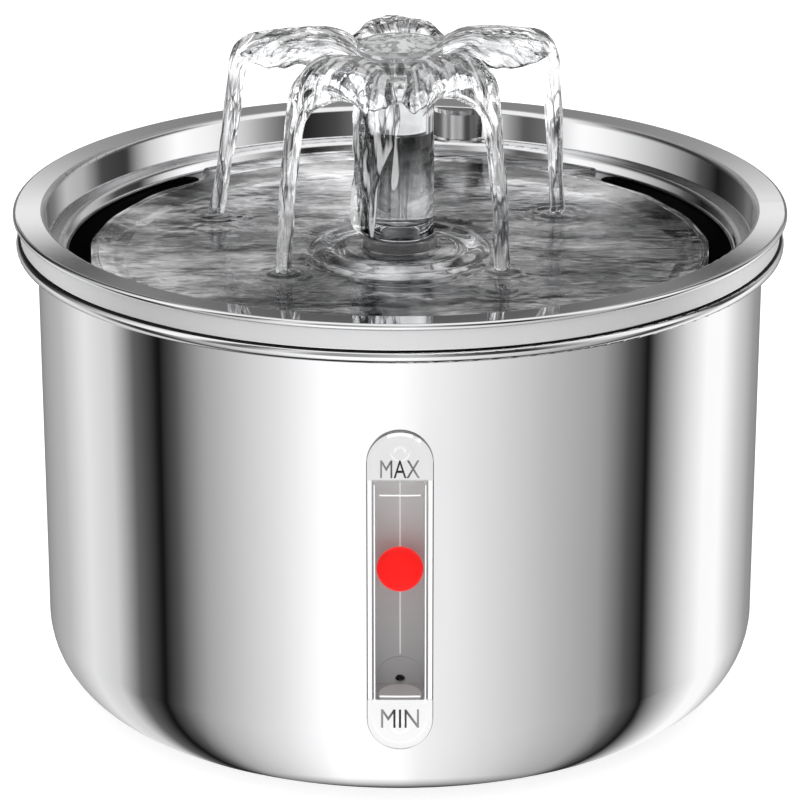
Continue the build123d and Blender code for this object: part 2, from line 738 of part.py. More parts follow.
with BuildPart() as nozzle_cap:
    with BuildSketch(Plane.XZ):
        with BuildLine():
            edge = Polyline(
                (bubble_bore, cap_z),
                (cap_radius, cap_z),
                (cap_radius, cap_z + cap_thickness),
                (cap_button_radius + cap_button_height, cap_z + cap_thickness),
            )
            crown = Spline(
                edge @ 1,
                (bubble_bore, cap_z + cap_thickness + cap_button_height),
                tangents=[(-1, 0.4), (-1, 0.1)],
            )
            Line(crown @ 1, edge @ 0)
        make_face()
    revolve(axis=Axis.Z)
    with BuildSketch(Plane.XY.offset(cap_z)):
        with PolarLocations((cap_radius + cap_button_radius + cap_button_height) / 2, cap_slot_count):
            SlotOverall(cap_radius - cap_button_radius - cap_button_height - 2 * cap_slot_width / 2, cap_slot_width)
    extrude(amount=2 * cap_thickness, mode=Mode.SUBTRACT)
nozzle_cap.part.label = "nozzle_cap"

# ================================================================ filter housing
with BuildPart() as suction_cups:
    with Locations(*[(x, y, recess_top) for x, y in cup_places]):
        Cone(cup_radius, cup_neck_radius, cup_height, align=(Align.CENTER, Align.CENTER, Align.MIN))
        Cone(cup_radius - cup_wall, cup_neck_radius - cup_wall, cup_height - cup_wall,
             align=(Align.CENTER, Align.CENTER, Align.MIN), mode=Mode.SUBTRACT)
    with Locations(*[(x, y, housing_base_z) for x, y in cup_places]):
        Cylinder(cup_peg, housing_floor, align=(Align.CENTER, Align.CENTER, Align.MIN))
    with Locations(*[(x, y, housing_floor_z) for x, y in cup_places]):
        Cylinder(cup_head_radius, cup_head, align=(Align.CENTER, Align.CENTER, Align.MIN))
suction_cups.part.label = "suction_cups"

with BuildPart() as filter_base:
    with BuildSketch(Plane.XY.offset(housing_base_z)):
        Circle(housing_radius)
    extrude(amount=housing_split - housing_base_z)
    fillet(filter_base.faces().sort_by(Axis.Z)[0].edges(), housing_edge)
    with BuildSketch(Plane.XY.offset(housing_floor_z)):
        Circle(housing_bore)
    extrude(amount=housing_split - housing_floor_z, mode=Mode.SUBTRACT)
    with BuildSketch(Plane.XY.offset(housing_base_z)):
        with Locations(*cup_places):
            Circle(cup_peg + running_gap)
    extrude(amount=housing_floor, mode=Mode.SUBTRACT)
    # ribs that keep the pump in place
    with BuildSketch(Plane.XY.offset(housing_floor_z)):
        for side in (-1, 1):
            with Locations((side * (motor_width / 2 + slide_gap + housing_wall / 2), rib_middle)):
                Rectangle(housing_wall, rib_length)
    extrude(amount=rib_height)
    # intake slots all round, with the opening for the cable in place of one of them
    slot_middle_z = window_slot_foot + window_slot_height / 2
    for number in range(1, window_slot_count):
        with BuildSketch(radial_plane(90 + number * 360 / window_slot_count, slot_middle_z).offset(housing_bore - housing_wall)):
            SlotOverall(window_slot_height, window_slot_width, rotation=90)
        extrude(amount=3 * housing_wall, mode=Mode.SUBTRACT)
    with BuildSketch(radial_plane(90, housing_split).offset(housing_bore - housing_wall)):
        SlotOverall(2 * cable_gate_depth, cable_gate, rotation=90)
    extrude(amount=3 * housing_wall, mode=Mode.SUBTRACT)
    # bayonet tracks: a way in from the top, then a stretch to turn along
    for angle in lug_angles:
        with BuildSketch(Plane.XY.offset(lug_z - slide_gap)):
            add(ring_sector(housing_bore - housing_wall, lug_radius + slide_gap, angle - track_half, lock_angle + 2 * track_half))
        extrude(amount=lug_height + 2 * slide_gap, mode=Mode.SUBTRACT)
        with BuildSketch(Plane.XY.offset(lug_z - slide_gap)):
            add(ring_sector(housing_bore - housing_wall, lug_radius + slide_gap, angle + lock_angle - track_half, 2 * track_half))
        extrude(amount=housing_split - lug_z + 2 * slide_gap, mode=Mode.SUBTRACT)
filter_base.part.label = "filter_base"

with BuildPart() as filter_lid:
    with BuildSketch(Plane.XZ):
        with BuildLine():
            Polyline(
                (lip_radius_inner, housing_split - lid_lip),
                (lip_radius_outer, housing_split - lid_lip),
                (lip_radius_outer, housing_split + seat_gap),
                (housing_radius, housing_split + seat_gap),
                (housing_radius, lid_rim),
                (housing_bore, lid_rim),
                (housing_bore, lid_plate),
                (housing_bore - lid_ledge, lid_plate),
                (housing_bore - lid_ledge, lid_plate - lid_ledge / 2),
                (housing_bore, lid_plate - 2 * lid_ledge),
                (housing_bore, housing_split + 3 * housing_wall),
                (lip_radius_inner, housing_split + 2 * housing_wall),
                close=True,
            )
        make_face()
    revolve(axis=Axis.Z)
    for angle in lug_angles:
        with BuildSketch(Plane.XY.offset(lug_z)):
            add(ring_sector(lip_radius_inner + lid_lip_thickness / 2, lug_radius, angle - lug_half, 2 * lug_half))
        extrude(amount=lug_height)
filter_lid.part.label = "filter_lid"

with BuildPart() as lid_grid:
    with BuildSketch(Plane.XY.offset(lid_plate)):
        Circle(grid_radius)
        Circle(sleeve_radius, mode=Mode.SUBTRACT)
        with PolarLocations((housing_bore + sleeve_radius) / 2, grid_slot_count):
            SlotOverall(grid_slot_length, grid_slot_width, mode=Mode.SUBTRACT)
    extrude(amount=lid_plate_thickness)
lid_grid.part.label = "lid_grid"

with BuildPart() as lid_sleeve:
    with BuildSketch(Plane.XY.offset(lid_plate)):
        Circle(sleeve_radius)
        Circle(sleeve_bore, mode=Mode.SUBTRACT)
    extrude(amount=lid_depth)
lid_sleeve.part.label = "lid_sleeve"

# ================================================================ filter cartridge
with BuildPart() as cartridge_shell:
    with BuildSketch(Plane.XY.offset(cartridge_z)):
        Circle(cartridge_radius)
        Circle(core_radius, mode=Mode.SUBTRACT)
    extrude(amount=cartridge_height)
    with BuildSketch(Plane.XY.offset(cartridge_z + cartridge_grid)):
        Circle(cartridge_radius - cartridge_wall)
    extrude(amount=cartridge_height, mode=Mode.SUBTRACT)
    with BuildSketch(Plane.XY.offset(cartridge_z)):
        with PolarLocations((cartridge_radius + cartridge_bore) / 2, cartridge_slot_count):
            SlotOverall(cartridge_slot_length, cartridge_slot_width)
    extrude(amount=cartridge_grid, mode=Mode.SUBTRACT)
cartridge_shell.part.label = "cartridge_shell"

with BuildPart() as cartridge_core:
    with BuildSketch(Plane.XY.offset(cartridge_z)):
        Circle(core_radius)
        Circle(cartridge_bore, mode=Mode.SUBTRACT)
    extrude(amount=cartridge_height)
cartridge_core.part.label = "cartridge_core"

with BuildPart() as cartridge_media:
    with BuildSketch(Plane.XY.offset(cartridge_z + cartridge_grid + running_gap)):
        Circle(cartridge_radius - cartridge_wall - slide_gap)
        Circle(core_radius + slide_gap, mode=Mode.SUBTRACT)
    extrude(amount=cartridge_height - 2 * cartridge_grid - 2 * running_gap)
    fillet(cartridge_media.edges().filter_by(GeomType.CIRCLE), media_edge)
cartridge_media.part.label = "cartridge_media"

with BuildPart() as cartridge_cover:
    with BuildSketch(Plane.XY.offset(cartridge_z + cartridge_height - cartridge_grid)):
        Circle(cartridge_radius - cartridge_wall - running_gap)
        Circle(core_radius + running_gap, mode=Mode.SUBTRACT)
        with PolarLocations((cartridge_radius + cartridge_bore) / 2, cartridge_slot_count):
            SlotOverall(cartridge_slot_length, cartridge_slot_width, mode=Mode.SUBTRACT)
    extrude(amount=cartridge_grid)
cartridge_cover.part.label = "cartridge_cover"

with BuildPart() as intake_foam:
    with BuildSketch(Plane.XY.offset(housing_floor_z + seat_gap)):
        add(ring_sector(foam_inner, housing_bore - seat_gap, -90 - foam_arc / 2, foam_arc))
    extrude(amount=foam_height)
intake_foam.part.label = "intake_foam"

# ================================================================ pump
with BuildPart() as pump_body:
    with BuildSketch(across_y(motor_back)):
        with Locations((0, motor_middle_z)):
            RectangleRounded(motor_width, motor_height, motor_corner)
    extrude(amount=motor_back - motor_front)
    with BuildSketch(across_y(motor_back)):
        with Locations((0, motor_middle_z)):
            RectangleRounded(cavity_width, cavity_height, motor_corner - motor_wall)
    extrude(amount=motor_back - cavity_front, mode=Mode.SUBTRACT)
    with BuildSketch(across_y(well_end + well_wall)):
        with Locations((0, shaft_z)):
            Circle(well_radius + well_wall)
    extrude(amount=well_end + well_wall - motor_front)
    with BuildSketch(across_y(motor_front)):
        with Locations((0, shaft_z)):
            Circle(chamber_radius + chamber_shell)
    extrude(amount=motor_front - chamber_front)
    with BuildSketch(Plane.XY.offset(shaft_z)):
        Circle(outlet_radius)
    extrude(amount=outlet_foot - shaft_z)
    with BuildSketch(across_y(motor_front)):
        with Locations((0, shaft_z)):
            Circle(chamber_radius)
    extrude(amount=motor_front - chamber_front, mode=Mode.SUBTRACT)
    with BuildSketch(across_y(well_end)):
        with Locations((0, shaft_z)):
            Circle(well_radius)
    extrude(amount=well_end - motor_front, mode=Mode.SUBTRACT)
    with BuildSketch(Plane.XY.offset(shaft_z)):
        Circle(outlet_bore)
    extrude(amount=outlet_foot - shaft_z, mode=Mode.SUBTRACT)
pump_body.part.label = "pump_body"

with BuildPart() as pump_outlet:
    with BuildSketch(Plane.XY.offset(outlet_foot)):
        Circle(outlet_radius)
        Circle(outlet_bore, mode=Mode.SUBTRACT)
    extrude(amount=outlet_top - outlet_foot)
pump_outlet.part.label = "pump_outlet"

with BuildPart() as pump_feet:
    with BuildSketch(Plane.XY.offset(housing_floor_z)):
        with Locations(*foot_places):
            Circle(foot_radius)
    extrude(amount=foot_height)
pump_feet.part.label = "pump_feet"

with BuildPart() as pump_back_cover:
    with BuildSketch(across_y(motor_back)):
        with Locations((0, motor_middle_z)):
            RectangleRounded(cavity_width - 2 * running_gap, cavity_height - 2 * running_gap, motor_corner - motor_wall)
            Circle(gland_neck_radius + running_gap, mode=Mode.SUBTRACT)
    extrude(amount=back_cover_thickness)
pump_back_cover.part.label = "pump_back_cover"

with BuildPart() as cable_gland:
    with BuildSketch(across_y(motor_back + gland_length)):
        with Locations((0, motor_middle_z)):
            Circle(gland_radius)
    extrude(amount=gland_length)
    with BuildSketch(across_y(motor_back)):
        with Locations((0, motor_middle_z)):
            Circle(gland_neck_radius)
    extrude(amount=back_cover_thickness)
    with BuildSketch(across_y(motor_back + gland_length)):
        with Locations((0, motor_middle_z)):
            Circle(gland_bore)
    extrude(amount=gland_length + back_cover_thickness, mode=Mode.SUBTRACT)
cable_gland.part.label = "cable_gland"

with BuildPart() as stator_core:
    with BuildSketch(across_y(core_front + core_thickness)):
        with Locations((0, (core_foot_z + core_top_z) / 2)):
            Rectangle(2 * core_leg_outer, core_top_z - core_foot_z)
        with Locations((0, (shaft_z + core_yoke_z) / 2)):
            Rectangle(2 * core_leg_inner, core_yoke_z - shaft_z, mode=Mode.SUBTRACT)
        with Locations((0, shaft_z)):
            Circle(well_radius + well_wall + core_pole_gap, mode=Mode.SUBTRACT)
    extrude(amount=core_thickness)
stator_core.part.label = "stator_core"

with BuildPart() as stator_coil:
    with BuildSketch(Plane.YZ.offset(-coil_half_length)):
        with Locations((core_front + core_thickness / 2, core_yoke_z + core_yoke_height / 2)):
            RectangleRounded(core_thickness + 2 * coil_build, core_yoke_height + 2 * coil_build, coil_corner)
            Rectangle(core_thickness + 2 * running_gap, core_yoke_height + 2 * running_gap, mode=Mode.SUBTRACT)
    extrude(amount=2 * coil_half_length)
stator_coil.part.label = "stator_coil"

with BuildPart() as pump_cover:
    with BuildSketch(across_y(chamber_front)):
        with Locations((0, shaft_z)):
            Circle(chamber_radius + chamber_shell)
    extrude(amount=cover_thickness)
    with BuildSketch(across_y(front_bush_back)):
        with Locations((0, shaft_z)):
            Circle(chamber_radius - running_gap)
            Circle(chamber_radius - chamber_shell, mode=Mode.SUBTRACT)
            Circle(bush_radius + bush_collar)
    extrude(amount=bush_sink + half)
    with BuildSketch(across_y(chamber_front)):
        for start in port_angles:
            add(ring_sector(bush_radius + port_setback, intake_radius, start, port_arc, (0, shaft_z)))
    extrude(amount=cover_thickness, mode=Mode.SUBTRACT)
    with BuildSketch(across_y(front_bush_back)):
        with Locations((0, shaft_z)):
            Circle(bush_radius + running_gap)
    extrude(amount=bush_length, mode=Mode.SUBTRACT)
pump_cover.part.label = "pump_cover"

with BuildPart() as impeller_shaft:
    with BuildSketch(across_y(well_end)):
        with Locations((0, shaft_z)):
            Circle(shaft_radius)
    extrude(amount=well_end - front_bush_back + bush_length)
impeller_shaft.part.label = "impeller_shaft"

with BuildPart() as front_bush:
    with BuildSketch(across_y(front_bush_back)):
        with Locations((0, shaft_z)):
            Circle(bush_radius)
            Circle(shaft_radius + running_gap, mode=Mode.SUBTRACT)
    extrude(amount=bush_length)
front_bush.part.label = "front_bush"

with BuildPart() as rear_bush:
    with BuildSketch(across_y(well_end)):
        with Locations((0, shaft_z)):
            Circle(well_radius - running_gap)
            Circle(shaft_radius + running_gap, mode=Mode.SUBTRACT)
    extrude(amount=bush_length)
    with BuildSketch(across_y(well_end - bush_length / 2)):
        with Locations((0, shaft_z)):
            Circle(well_radius)
            Circle(bush_radius, mode=Mode.SUBTRACT)
    extrude(amount=bush_length, mode=Mode.SUBTRACT)
rear_bush.part.label = "rear_bush"

with BuildPart() as rotor_magnet:
    with BuildSketch(across_y(magnet_back)):
        with Locations((0, shaft_z)):
            Circle(magnet_radius)
            Circle(hub_radius, mode=Mode.SUBTRACT)
    extrude(amount=magnet_back - magnet_front)
rotor_magnet.part.label = "rotor_magnet"

with BuildPart() as impeller:
    with BuildSketch(across_y(magnet_back)):
        with Locations((0, shaft_z)):
            Circle(hub_radius)
    extrude(amount=magnet_back - vane_front)
    with BuildSketch(across_y(disc_back)):
        with Locations((0, shaft_z)):
            Circle(impeller_radius)
    extrude(amount=disc_thickness)
    with BuildSketch(across_y(disc_back)):
        with Locations((0, shaft_z)):
            with PolarLocations((hub_radius - vane_root + impeller_radius - vane_setback) / 2, vane_count):
                Rectangle(impeller_radius - vane_setback - hub_radius + vane_root, vane_thickness)
    extrude(amount=disc_back - vane_front)
    with BuildSketch(across_y(magnet_back)):
        with Locations((0, shaft_z)):
            Circle(shaft_radius + running_gap)
    extrude(amount=magnet_back - vane_front, mode=Mode.SUBTRACT)
impeller.part.label = "impeller"

with BuildPart() as intake_grille:
    with BuildSketch(across_y(cover_front)):
        with Locations((0, shaft_z)):
            Circle(chamber_radius + chamber_shell)
    extrude(amount=grille_depth)
    fillet(intake_grille.faces().sort_by(Axis.Y)[0].edges(), grille_edge)
    with BuildSketch(across_y(cover_front)):
        with Locations((0, shaft_z)):
            Circle(chamber_radius + chamber_shell - grille_wall)
    extrude(amount=grille_depth - grille_wall, mode=Mode.SUBTRACT)
    with BuildSketch(across_y(cover_front)):
        with Locations((0, shaft_z)):
            Circle(dial_stem + slide_gap)
    extrude(amount=grille_depth, mode=Mode.SUBTRACT)
    for number in range(grille_slot_count):
        turn = number * 360 / grille_slot_count
        with BuildSketch(side_plane(turn).offset(chamber_radius - grille_wall)):
            SlotOverall(grille_slot_length, grille_slot_width, rotation=0)
        extrude(amount=3 * grille_wall, mode=Mode.SUBTRACT)
intake_grille.part.label = "intake_grille"

# Flow dial: a knob in front of the grille, a stem through it and a shutter over the ports.
with BuildPart() as flow_dial:
    with BuildSketch(across_y(grille_front - seat_gap)):
        with Locations((0, shaft_z)):
            Circle(dial_radius)
    extrude(amount=dial_thickness)
    fillet(flow_dial.faces().sort_by(Axis.Y)[0].edges(), soft_edge)
    with BuildSketch(across_y(grille_front - seat_gap - dial_thickness)):
        with Locations((0, shaft_z)):
            SlotOverall(2 * (dial_radius - dial_grip), dial_grip, rotation=90)
    extrude(amount=dial_grip)
    with BuildSketch(across_y(cover_front - seat_gap)):
        with Locations((0, shaft_z)):
            Circle(dial_stem)
    extrude(amount=grille_depth)
    with BuildSketch(across_y(cover_front - seat_gap)):
        for start in port_angles:
            add(ring_sector(dial_stem / 2, shutter_radius, start + port_arc + port_margin, port_arc + port_margin, (0, shaft_z)))
    extrude(amount=shutter_thickness)
flow_dial.part.label = "flow_dial"

with BuildPart() as outlet_adapter:
    with BuildSketch(Plane.XZ):
        with BuildLine():
            Polyline(
                (outlet_radius + running_gap, adapter_foot),
                (adapter_radius, adapter_foot),
                (adapter_radius, adapter_top),
                (stem_radius + slide_gap, adapter_top),
                (stem_radius + slide_gap, adapter_step_z + adapter_step),
                (outlet_bore, adapter_step_z + adapter_step),
                (outlet_bore, adapter_step_z),
                (outlet_radius + running_gap, adapter_step_z),
                close=True,
            )
        make_face()
    revolve(axis=Axis.Z)
    chamfer(outlet_adapter.edges().group_by(Axis.Z)[-1].sort_by(SortBy.RADIUS)[0], adapter_edge)
outlet_adapter.part.label = "outlet_adapter"

# ================================================================ files
pieces = [
    bowl, anti_slip_ring, window_lens, window_gasket, gauge_chamber, gauge_screws, float_ball,
    tray, tray_collar, riser_tube, riser_ring, flower_nozzle, nozzle_cap,
    suction_cups, filter_base, filter_lid, lid_grid, lid_sleeve,
    cartridge_shell, cartridge_core, cartridge_media, cartridge_cover, intake_foam,
    pump_body, pump_outlet, pump_feet, pump_back_cover, cable_gland, stator_core, stator_coil, pump_cover,
    impeller_shaft, front_bush, rear_bush, rotor_magnet, impeller, intake_grille, flow_dial, outlet_adapter,
]
os.makedirs("parts", exist_ok=True)
for piece in pieces:
    export_step(piece.part, f"parts/{piece.part.label}.step")
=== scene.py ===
from math import atan2, cos, degrees, exp, hypot, pi, radians, sin, sqrt

import bpy
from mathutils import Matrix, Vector, noise


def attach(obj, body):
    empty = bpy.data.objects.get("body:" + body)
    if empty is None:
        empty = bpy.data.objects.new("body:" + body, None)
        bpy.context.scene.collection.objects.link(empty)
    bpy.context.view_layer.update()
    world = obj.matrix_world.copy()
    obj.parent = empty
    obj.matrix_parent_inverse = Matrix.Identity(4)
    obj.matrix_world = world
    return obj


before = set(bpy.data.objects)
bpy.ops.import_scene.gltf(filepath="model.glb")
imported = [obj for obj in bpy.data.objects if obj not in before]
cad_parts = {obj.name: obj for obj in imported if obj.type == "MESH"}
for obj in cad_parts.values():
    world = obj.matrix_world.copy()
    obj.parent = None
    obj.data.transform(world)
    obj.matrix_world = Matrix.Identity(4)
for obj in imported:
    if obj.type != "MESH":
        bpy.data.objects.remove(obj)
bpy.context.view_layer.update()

MM = 0.001  # the tables below are in millimetres, the scene is in metres

# the nozzle's heights: top of the plug, foot and top of the neck, top of the disc; how soft a line there is
plug_top, neck_foot, neck_top, disc_top = 161.5, 167.5, 171.9, 173.7
line_softness = 0.3

# the window: height of its middle, from there to the centres of its round ends, its radius,
# its curved face, the face of its plug, and from the middle to its ends, which glow white as painted light
window_middle, window_half, window_radius = 61.0, 33.8, 8.0
lens_front, plug_face, glow_ends_from = 94.72, 93.7, 29.0

# the float's channel: height of its floor and top, and the half oval on the floor
channel_floor, channel_top, channel_back = 31.0, 90.0, 88.2
oval_across, oval_deep = 5.3, 7.0

# the cable passage's bulge: distance from the axis, heading, radius, and where its painted bright
# reflection line is
passage_reach, passage_heading, passage_radius, passage_glint = 95.6, 80, 8.4, 15.9


# ---------------------------------------------------------------- node trees
class Nodes:
    """A node tree, with short ways to add its nodes and to join them."""

    def __init__(self, tree):
        self.tree = tree

    def add(self, kind, inputs=None, **settings):
        node = self.tree.nodes.new(kind)
        for key, value in settings.items():
            setattr(node, key, value)
        for key, value in (inputs or {}).items():
            if isinstance(value, bpy.types.NodeSocket):
                self.tree.links.new(value, node.inputs[key])
            else:
                node.inputs[key].default_value = value
        return node

    def math(self, operation, *values):
        return self.add("ShaderNodeMath", dict(enumerate(values)), operation=operation).outputs[0]

    def plus(self, a, b):
        return self.math("ADD", a, b)

    def minus(self, a, b):
        return self.math("SUBTRACT", a, b)

    def times(self, first, *others):
        for other in others:
            first = self.math("MULTIPLY", first, other)
        return first

    def over(self, a, b):
        return self.math("DIVIDE", a, b)

    def most(self, a, b):
        return self.math("MAXIMUM", a, b)

    def apart(self, a, b):
        """How far two values are apart."""
        return self.unsigned(self.minus(a, b))

    def unsigned(self, value):
        return self.math("ABSOLUTE", value)

    def span(self, a, b):
        """Length of a line with these two legs."""
        return self.math("SQRT", self.plus(self.times(a, a), self.times(b, b)))

    def between(self, value, low, high, from_low=0.0, from_high=1.0, kind="LINEAR"):
        return self.add("ShaderNodeMapRange", {"Value": value, "From Min": from_low, "From Max": from_high,
                        "To Min": low, "To Max": high}, interpolation_type=kind).outputs[0]

    def rising(self, value, foot, top):
        """0 below the foot and 1 above the top, both in millimetres."""
        return self.between(value, 0.0, 1.0, foot * MM, top * MM)

    def falling(self, value, foot, top):
        return self.between(value, 1.0, 0.0, foot * MM, top * MM)


class Finish(Nodes):
    """A procedural material: its node tree, its shader and its object coordinates."""

    def __init__(self, name, **sockets):
        self.material = bpy.data.materials.new(name)
        self.material.use_nodes = True
        super().__init__(self.material.node_tree)
        self.shader = self.tree.nodes["Principled BSDF"]
        self.place = self.add("ShaderNodeTexCoord").outputs["Object"]
        for key, value in sockets.items():
            self.shader.inputs[key.replace("_", " ")].default_value = value

    def feed(self, socket, value):
        self.tree.links.new(value, self.shader.inputs[socket])

    def done(self, colour, roughness, normal):
        """Feed the shader and give the material."""
        self.feed("Base Color", colour)
        self.feed("Roughness", roughness)
        self.feed("Normal", normal)
        return self.material

    def axes(self):
        return self.add("ShaderNodeSeparateXYZ", {"Vector": self.place}).outputs

    def stretched(self, x, y, z):
        """Object coordinates scaled by cells per metre along each axis."""
        return self.add("ShaderNodeMapping", {"Vector": self.place, "Scale": (x, y, z)}).outputs[0]

    def grain(self, x, y, z, detail=3.0, roughness=0.55):
        return self.add("ShaderNodeTexNoise", {"Vector": self.stretched(x, y, z), "Scale": 1.0,
                        "Detail": detail, "Roughness": roughness}).outputs[0]

    def cells(self, size):
        density = 1.0 / (size * MM)
        return self.add("ShaderNodeTexVoronoi", {"Vector": self.stretched(density, density, density),
                        "Scale": 1.0}).outputs["Distance"]

    def tint(self, factor, dark, light):
        node = self.add("ShaderNodeMix", {"Factor": factor}, data_type="RGBA")
        for key, tone in (("A", dark), ("B", light)):
            if isinstance(tone, bpy.types.NodeSocket):
                self.tree.links.new(tone, node.inputs[key])
            else:
                node.inputs[key].default_value = (*tone, 1)
        return node.outputs["Result"]

    def point(self, x, y, z):
        return self.add("ShaderNodeCombineXYZ", {0: x, 1: y, 2: z}).outputs[0]

    def vector(self, operation, *values, **named):
        inputs = {**dict(enumerate(values)), **named}
        return self.add("ShaderNodeVectorMath", inputs, operation=operation).outputs[0]

    def unit(self, value):
        return self.vector("NORMALIZE", value)

    def dot(self, a, b):
        return self.add("ShaderNodeVectorMath", {0: a, 1: b}, operation="DOT_PRODUCT").outputs["Value"]

    def blend(self, factor, a, b):
        """Mix of two directions."""
        node = self.add("ShaderNodeMix", {"Factor": factor}, data_type="VECTOR")
        self.tree.links.new(a, node.inputs[4])
        self.tree.links.new(b, node.inputs[5])
        return node.outputs[1]

    def relief(self, height, depth, strength=1.0, under=None):
        inputs = {"Height": height, "Distance": depth * MM, "Strength": strength}
        if under:
            inputs["Normal"] = under
        return self.add("ShaderNodeBump", inputs).outputs[0]


def ramp(finish, value, stops):
    """Grey ramp over stops of (place, brightness)."""
    node = finish.add("ShaderNodeValToRGB", {"Fac": value})
    bar = node.color_ramp.elements
    bar.remove(bar[-1])
    for number, (place, tone) in enumerate(stops):
        stop = bar[0] if number == 0 else bar.new(place)
        stop.position = place
        stop.color = (tone, tone, tone, 1)
    return node.outputs["Color"]


# ---------------------------------------------------------------- finishes
# the sheet's bends: radius and height of the bend's centre, 1 for a convex face and -1 for a hollow one,
# least and greatest radius, least and greatest height
steel_bends = [
    (92.88, 130.45, 1, 91.4, 92.87, 130.45, 131.9),  # from the flange to the upper wall
    (90.8, 123.6, -1, 90.8, 91.5, 123.1, 123.6),     # from the upper wall to the ledge
    (88.2, 122.0, 1, 86.8, 88.2, 122.0, 123.4),      # from the ledge to the lower wall
    (86.6, 120.4, -1, 86.6, 87.3, 119.9, 120.4),     # from the lower wall to the drain ring
    (97.7, 123.2, 1, 97.7, 99.6, 121.7, 124.8),      # the bowl's rolled lip
]

# the sheet's zones: least and greatest radius, least and greatest height
steel_zones = {
    "drawn": (85.6, 92.87, 119.8, 132.0),
    "upper_wall": (85.6, 91.95, 123.6, 130.45),
    "lower_wall": (86.5, 87.5, 120.4, 122.0),
    "ledge": (88.2, 90.8, 123.0, 123.4),
    # slot_land: painted dark as shade in the drain slots
    "slot_land": (85.6, 86.6, 119.8, 120.3),
    "lip": (94.6, 99.8, 119.0, 124.95),
    # seat: where the skirt sits on the lip, painted dark as a shadow line
    "seat": (97.0, 98.85, 124.38, 124.98),
    # inner_wall: the bowl's inside below the tray, rougher and painted darker as shade
    "inner_wall": (60.0, 93.5, 0.0, 118.9),
}
# least and greatest roughness of the parts that aren't mirror bright
steel_softness = [
    ("walls", 0.06, 0.09), ("bulge", 0.2, 0.26), ("bends", 0.16, 0.20), ("ledge", 0.2, 0.26),
    ("lip", 0.10, 0.14), ("inner_wall", 0.35, 0.45), ("skirt", 0.36, 0.44), ("seat", 0.5, 0.6),
]


def polished_steel():
    """Mirror polished sheet; the skirt and the tray's drawn walls are a little softer. Its colour has
    painted shade on the drain ring's land, inside the bowl below the tray and at the seat under the skirt,
    and a painted reflection on the cable passage's bulge.
    """
    f = Finish("polished_steel", Specular_IOR_Level=0.5)
    x, y, z = f.axes()
    reach = f.span(x, y)
    outward = f.unit(f.point(x, y, 0.0))
    surface = f.add("ShaderNodeNewGeometry").outputs["Normal"]
    facing = f.dot(surface, outward)

    def within(value, low, high):
        return f.times(f.math("GREATER_THAN", value, low * MM), f.math("LESS_THAN", value, high * MM))

    def zone(r_low, r_high, z_low, z_high):
        return f.times(within(reach, r_low, r_high), within(z, z_low, z_high))

    part = {name: zone(*edges) for name, edges in steel_zones.items()}
    part["walls"] = f.most(part["upper_wall"], part["lower_wall"])
    part["inner_wall"] = f.times(f.math("LESS_THAN", facing, -0.2), part["inner_wall"])
    skirt_height = f.times(f.rising(z, 125.0, 125.2), f.falling(z, 130.4, 130.9))
    part["skirt"] = f.times(f.rising(reach, 97.2, 97.7), skirt_height)

    # the cable passage bulges out of the upper wall
    heading = radians(passage_heading)
    bulge_place = tuple(passage_reach * MM * way for way in (cos(heading), sin(heading), 0.0))
    from_bulge = f.vector("SUBTRACT", f.point(x, y, 0.0), bulge_place)
    near_bulge = f.add("ShaderNodeVectorMath", {0: from_bulge}, operation="LENGTH").outputs["Value"]
    part["bulge"] = f.times(f.math("LESS_THAN", near_bulge, passage_radius * MM), part["upper_wall"])
    inward = f.blend(part["bulge"], f.vector("SCALE", outward, Scale=-1.0), f.unit(from_bulge))
    face = f.blend(part["walls"], surface, inward)
    part["bends"] = 0.0
    for r_middle, z_middle, side, *edges in steel_bends:
        across = f.vector("SCALE", outward, Scale=f.times(f.minus(reach, r_middle * MM), float(side)))
        up = f.point(0.0, 0.0, f.times(f.minus(z, z_middle * MM), float(side)))
        rolled = f.unit(f.vector("ADD", across, up))
        here = f.times(zone(*edges), f.math("GREATER_THAN", f.dot(surface, rolled), 0.2))
        face = f.blend(here, face, rolled)
        part["bends"] = f.most(part["bends"], here)
    # the tray's walls lean back to the light, the most at the left and the right
    in_tray = f.times(part["drawn"], f.most(part["walls"], part["bends"]))
    beside = f.over(f.unsigned(y), reach)
    lift = f.times(f.between(beside, 1.15, 0.58, 0.0, 0.5), f.unsigned(f.dot(face, outward)), in_tray)
    face = f.unit(f.vector("ADD", face, f.point(0.0, 0.0, lift)))
    # the foot of the bowl rolls under softly
    foot = f.times(f.between(facing, 0.0, 1.0, 0.02, 0.12), f.falling(z, 40, 60))
    foot_face = f.unit(f.vector("ADD", surface, f.vector("SCALE", outward, Scale=1.6)))
    face = f.unit(f.blend(foot, face, foot_face))

    polish = f.grain(900, 900, 26, 4)
    rough = f.between(polish, 0.02, 0.05)
    for name, low, high in steel_softness:
        softer = f.between(polish, low, high)
        rough = f.add("ShaderNodeMix", {"Factor": part[name], "A": rough, "B": softer}).outputs["Result"]
    f.feed("Roughness", rough)
    f.feed("Metallic", f.between(part["skirt"], 1.0, 0.4))
    bright = f.tint(f.grain(60, 60, 14, 2), (0.80, 0.80, 0.81), (0.86, 0.86, 0.87))
    # painted reflection: the bulge is painted dark beside its bright line
    off_glint = f.between(f.apart(x, passage_glint * MM), 0.0, 1.1, 1.7 * MM, 4.8 * MM)
    painted_shade_and_dark_reflection = f.most(part["slot_land"], f.times(part["bulge"], off_glint))
    # painted shade darkens the bowl's inside below the tray; painted shade and a painted reflection darken
    # the slot land and the bulge's sides
    shaded = f.tint(f.most(f.times(part["inner_wall"], 0.75), painted_shade_and_dark_reflection), bright, (0.14, 0.14, 0.14))
    # the seat gets a painted shadow line, almost black
    f.feed("Base Color", f.tint(part["seat"], shaded, (0.03, 0.03, 0.03)))
    f.feed("Normal", f.relief(polish, 0.02, 0.03, face))
    return f.material


